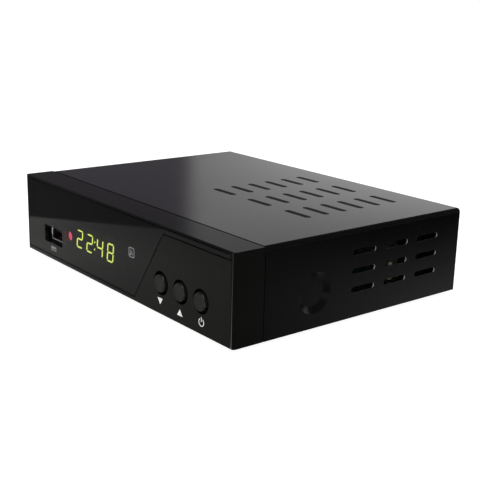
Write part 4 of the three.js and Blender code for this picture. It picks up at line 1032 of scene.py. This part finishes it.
# %% Board laminate
laminate = material("board_laminate", Specular_IOR_Level=0.5)
board_place = laminate.place()
traces = laminate.cells(board_place, 0.35, "DISTANCE_TO_EDGE").step(0.09, 0.05)
weave = laminate.node("ShaderNodeTexChecker", inputs={"Vector": board_place, "Scale": 3.0}, output=1)
pads = laminate.cells(board_place, 0.42).step(0.2, 0.16)
solder_mask = laminate.mix(traces, (0.003, 0.022, 0.009), (0.007, 0.045, 0.018))
laminate.fill(laminate.shader, {
    "Base Color": laminate.mix(pads, solder_mask, (0.55, 0.55, 0.52)),
    "Metallic": pads * 0.9,
    "Roughness": 0.32 - pads * 0.05 + laminate.noise(board_place, 0.8) * 0.1,
    "Normal": laminate.bump(traces * 0.03 + weave * 0.003 + pads * 0.04),
})
for node in ("main_board", "front_board"):
    refined(node, laminate, 0.08)

# %% Parts of the boards
chip_epoxy = moulded("chip_epoxy", (0.014, 0.014, 0.015), 0.45, 4.0, 0.02)
for node in ("main_chip", "memory_chip", "flash_chip", "regulator"):
    refined(node, chip_epoxy, 0.1)
refined("heat_sink", aluminium, 0.12)
refined("power_inductor", aluminium, 0.2)
for node in ("tuner_can", "crystal"):
    refined(node, tin, 0.25)
for node in sorted(n for n in frame["nodes"] if n.startswith("standoff_")):
    refined(node, nickel, 0.1)
for node in sorted(n for n in frame["nodes"] if n.startswith("switch_")):
    refined(node, black_plastic, 0.08)
for node in ("front_header", "main_header"):
    refined(node, white_plastic, 0.2)

# %% [markdown]
# The can capacitors stand near the right-hand vents, where their olive sleeve and pale stripe show
# through the slots. Each is a turned can with a rolled groove; the sleeve's stripe follows the
# angle round the can, and the bare top is aluminium.

# %% Capacitors
def sleeve(name, x, y, radius, top):
    recipe = material(name, Roughness=0.35)
    px, py, pz = recipe.axes(recipe.place((x, y, 0)))
    facing = (px * 0.93 - py * 0.37) / radius
    stripe = facing.step(0.984, 0.991)
    bare = pz.step(top - 0.25, top - 0.1) * distance(px, py).step(radius - 0.5, radius - 0.7)
    dashes = (pz / 2.6).fraction().step(0.45, 0.5)
    pale = recipe.mix(dashes, (0.6, 0.58, 0.5), (0.08, 0.08, 0.05))
    olive = recipe.mix(stripe, (0.055, 0.052, 0.018), pale)
    score = abs(px).least(abs(py)).step(0.18, 0.08) * bare
    recipe.fill(recipe.shader, {
        "Base Color": recipe.mix(bare, olive, (0.6, 0.6, 0.6)),
        "Metallic": bare,
        "Normal": recipe.bump(recipe.noise(recipe.place(), 1.5) * 0.02 - score * 0.12),
    })
    return recipe


BOARD_TOP = 7.3
for node in ("capacitor_supply", "capacitor_core", "capacitor_audio"):
    low, high = cad_box(node)
    x, y, _ = axis_place(node)
    radius, height = (high[0] - low[0]) / 2, high[2] - low[2]
    can = [
        (0, 0), (radius, 0), (radius, 1.3), (radius - 0.35, 1.9), (radius, 2.5), (radius, height),
        (radius - 0.5, height), (radius - 0.6, height - 0.15), (0, height - 0.15),
    ]
    piece = turned("fine_" + node, eased(can, 0.22), (x, y, BOARD_TOP), "z", 40)
    can_paint = sleeve(node + "_sleeve", x, y, radius, BOARD_TOP + height)
    finish(piece, can_paint, stands_for=(node,))

# %% [markdown]
# The flat cable between the boards is a row of wires moulded side by side, so its section is ribbed.
# The section is carried along the cable's path: straight out of the front header, round a quarter
# turn, and down into the main header.

# %% Flat cable
CABLE_BEND, CABLE_HALF = 5.0, 0.45


def ribbon(name, x, half_width, path, wires, thick):
    """The section's upper edge is t/2 (0.55 + 0.45 |sin(pi n u)|) for u from 0 to 1 across, and its
    lower edge the same the other way up; each ring is that section, set square to the path."""
    path = np.asarray(path, float)
    u = np.linspace(0, 1, wires * 8 + 1)
    rib = thick / 2 * (0.55 + 0.45 * np.abs(np.sin(np.pi * wires * u)))
    width = np.concatenate([u, u[::-1]]) * 2 * half_width - half_width
    depth = np.concatenate([rib, -rib[::-1]])
    offset = depth[None, :, None] * square_to(path)[:, None, :]
    across = np.broadcast_to(x + width, (len(path), len(width)))[..., None]
    return skin(name, np.concatenate([across, path[:, None, :] + offset], axis=-1))


low, high = cad_box("flat_cable")
bend_turn = np.linspace(0, np.pi / 2, 16)
quarter = CABLE_BEND * np.column_stack([np.sin(bend_turn), np.cos(bend_turn)])
quarter = quarter + high[1:] - CABLE_HALF - CABLE_BEND
cable_path = [(low[1], high[2] - CABLE_HALF), *quarter, (high[1] - CABLE_HALF, low[2])]
cable_grey = moulded("cable_grey", (0.3, 0.31, 0.32), 0.45, 3.0, 0.01)
cable_x, cable_reach = (low[0] + high[0]) / 2, (high[0] - low[0]) / 2
cable = ribbon("fine_flat_cable", cable_x, cable_reach, cable_path, 8, 2 * CABLE_HALF)
finish(cable, cable_grey, stands_for=("flat_cable",))

# %% [markdown]
# The inductor's winding is turned too. Its profile is a row of bulges, one for each turn of wire:
# the radius is the coil's, and a quarter of a millimetre of |sin| is added to it.

# %% Winding of the inductor
FLANGE, WIRE_PITCH, COIL_RADIUS, COIL_INSIDE = 1.3, 0.55, 5.0, 4.3
low, high = cad_box("power_inductor")
rows = np.linspace(low[2] + FLANGE, high[2] - FLANGE, 60)
bulge = 0.25 * np.abs(np.sin((rows - rows[0]) / WIRE_PITCH * np.pi))
coil = [(COIL_INSIDE, rows[0]), *np.column_stack([COIL_RADIUS + bulge, rows]), (COIL_INSIDE, rows[-1])]
winding = turned("inductor_winding", coil, axis_place("power_inductor"), "z", loop=True)
finish(winding, copper)
print("boards populated")

# %% [markdown]
# ## CAD nodes left shown
# The CAD nodes that no finished piece stands for stay shown, and their names are printed.

# %% CAD nodes left shown
left_over = sorted(n for n, node in frame["nodes"].items() if not node.hide_render)
print("CAD nodes still shown:", left_over)
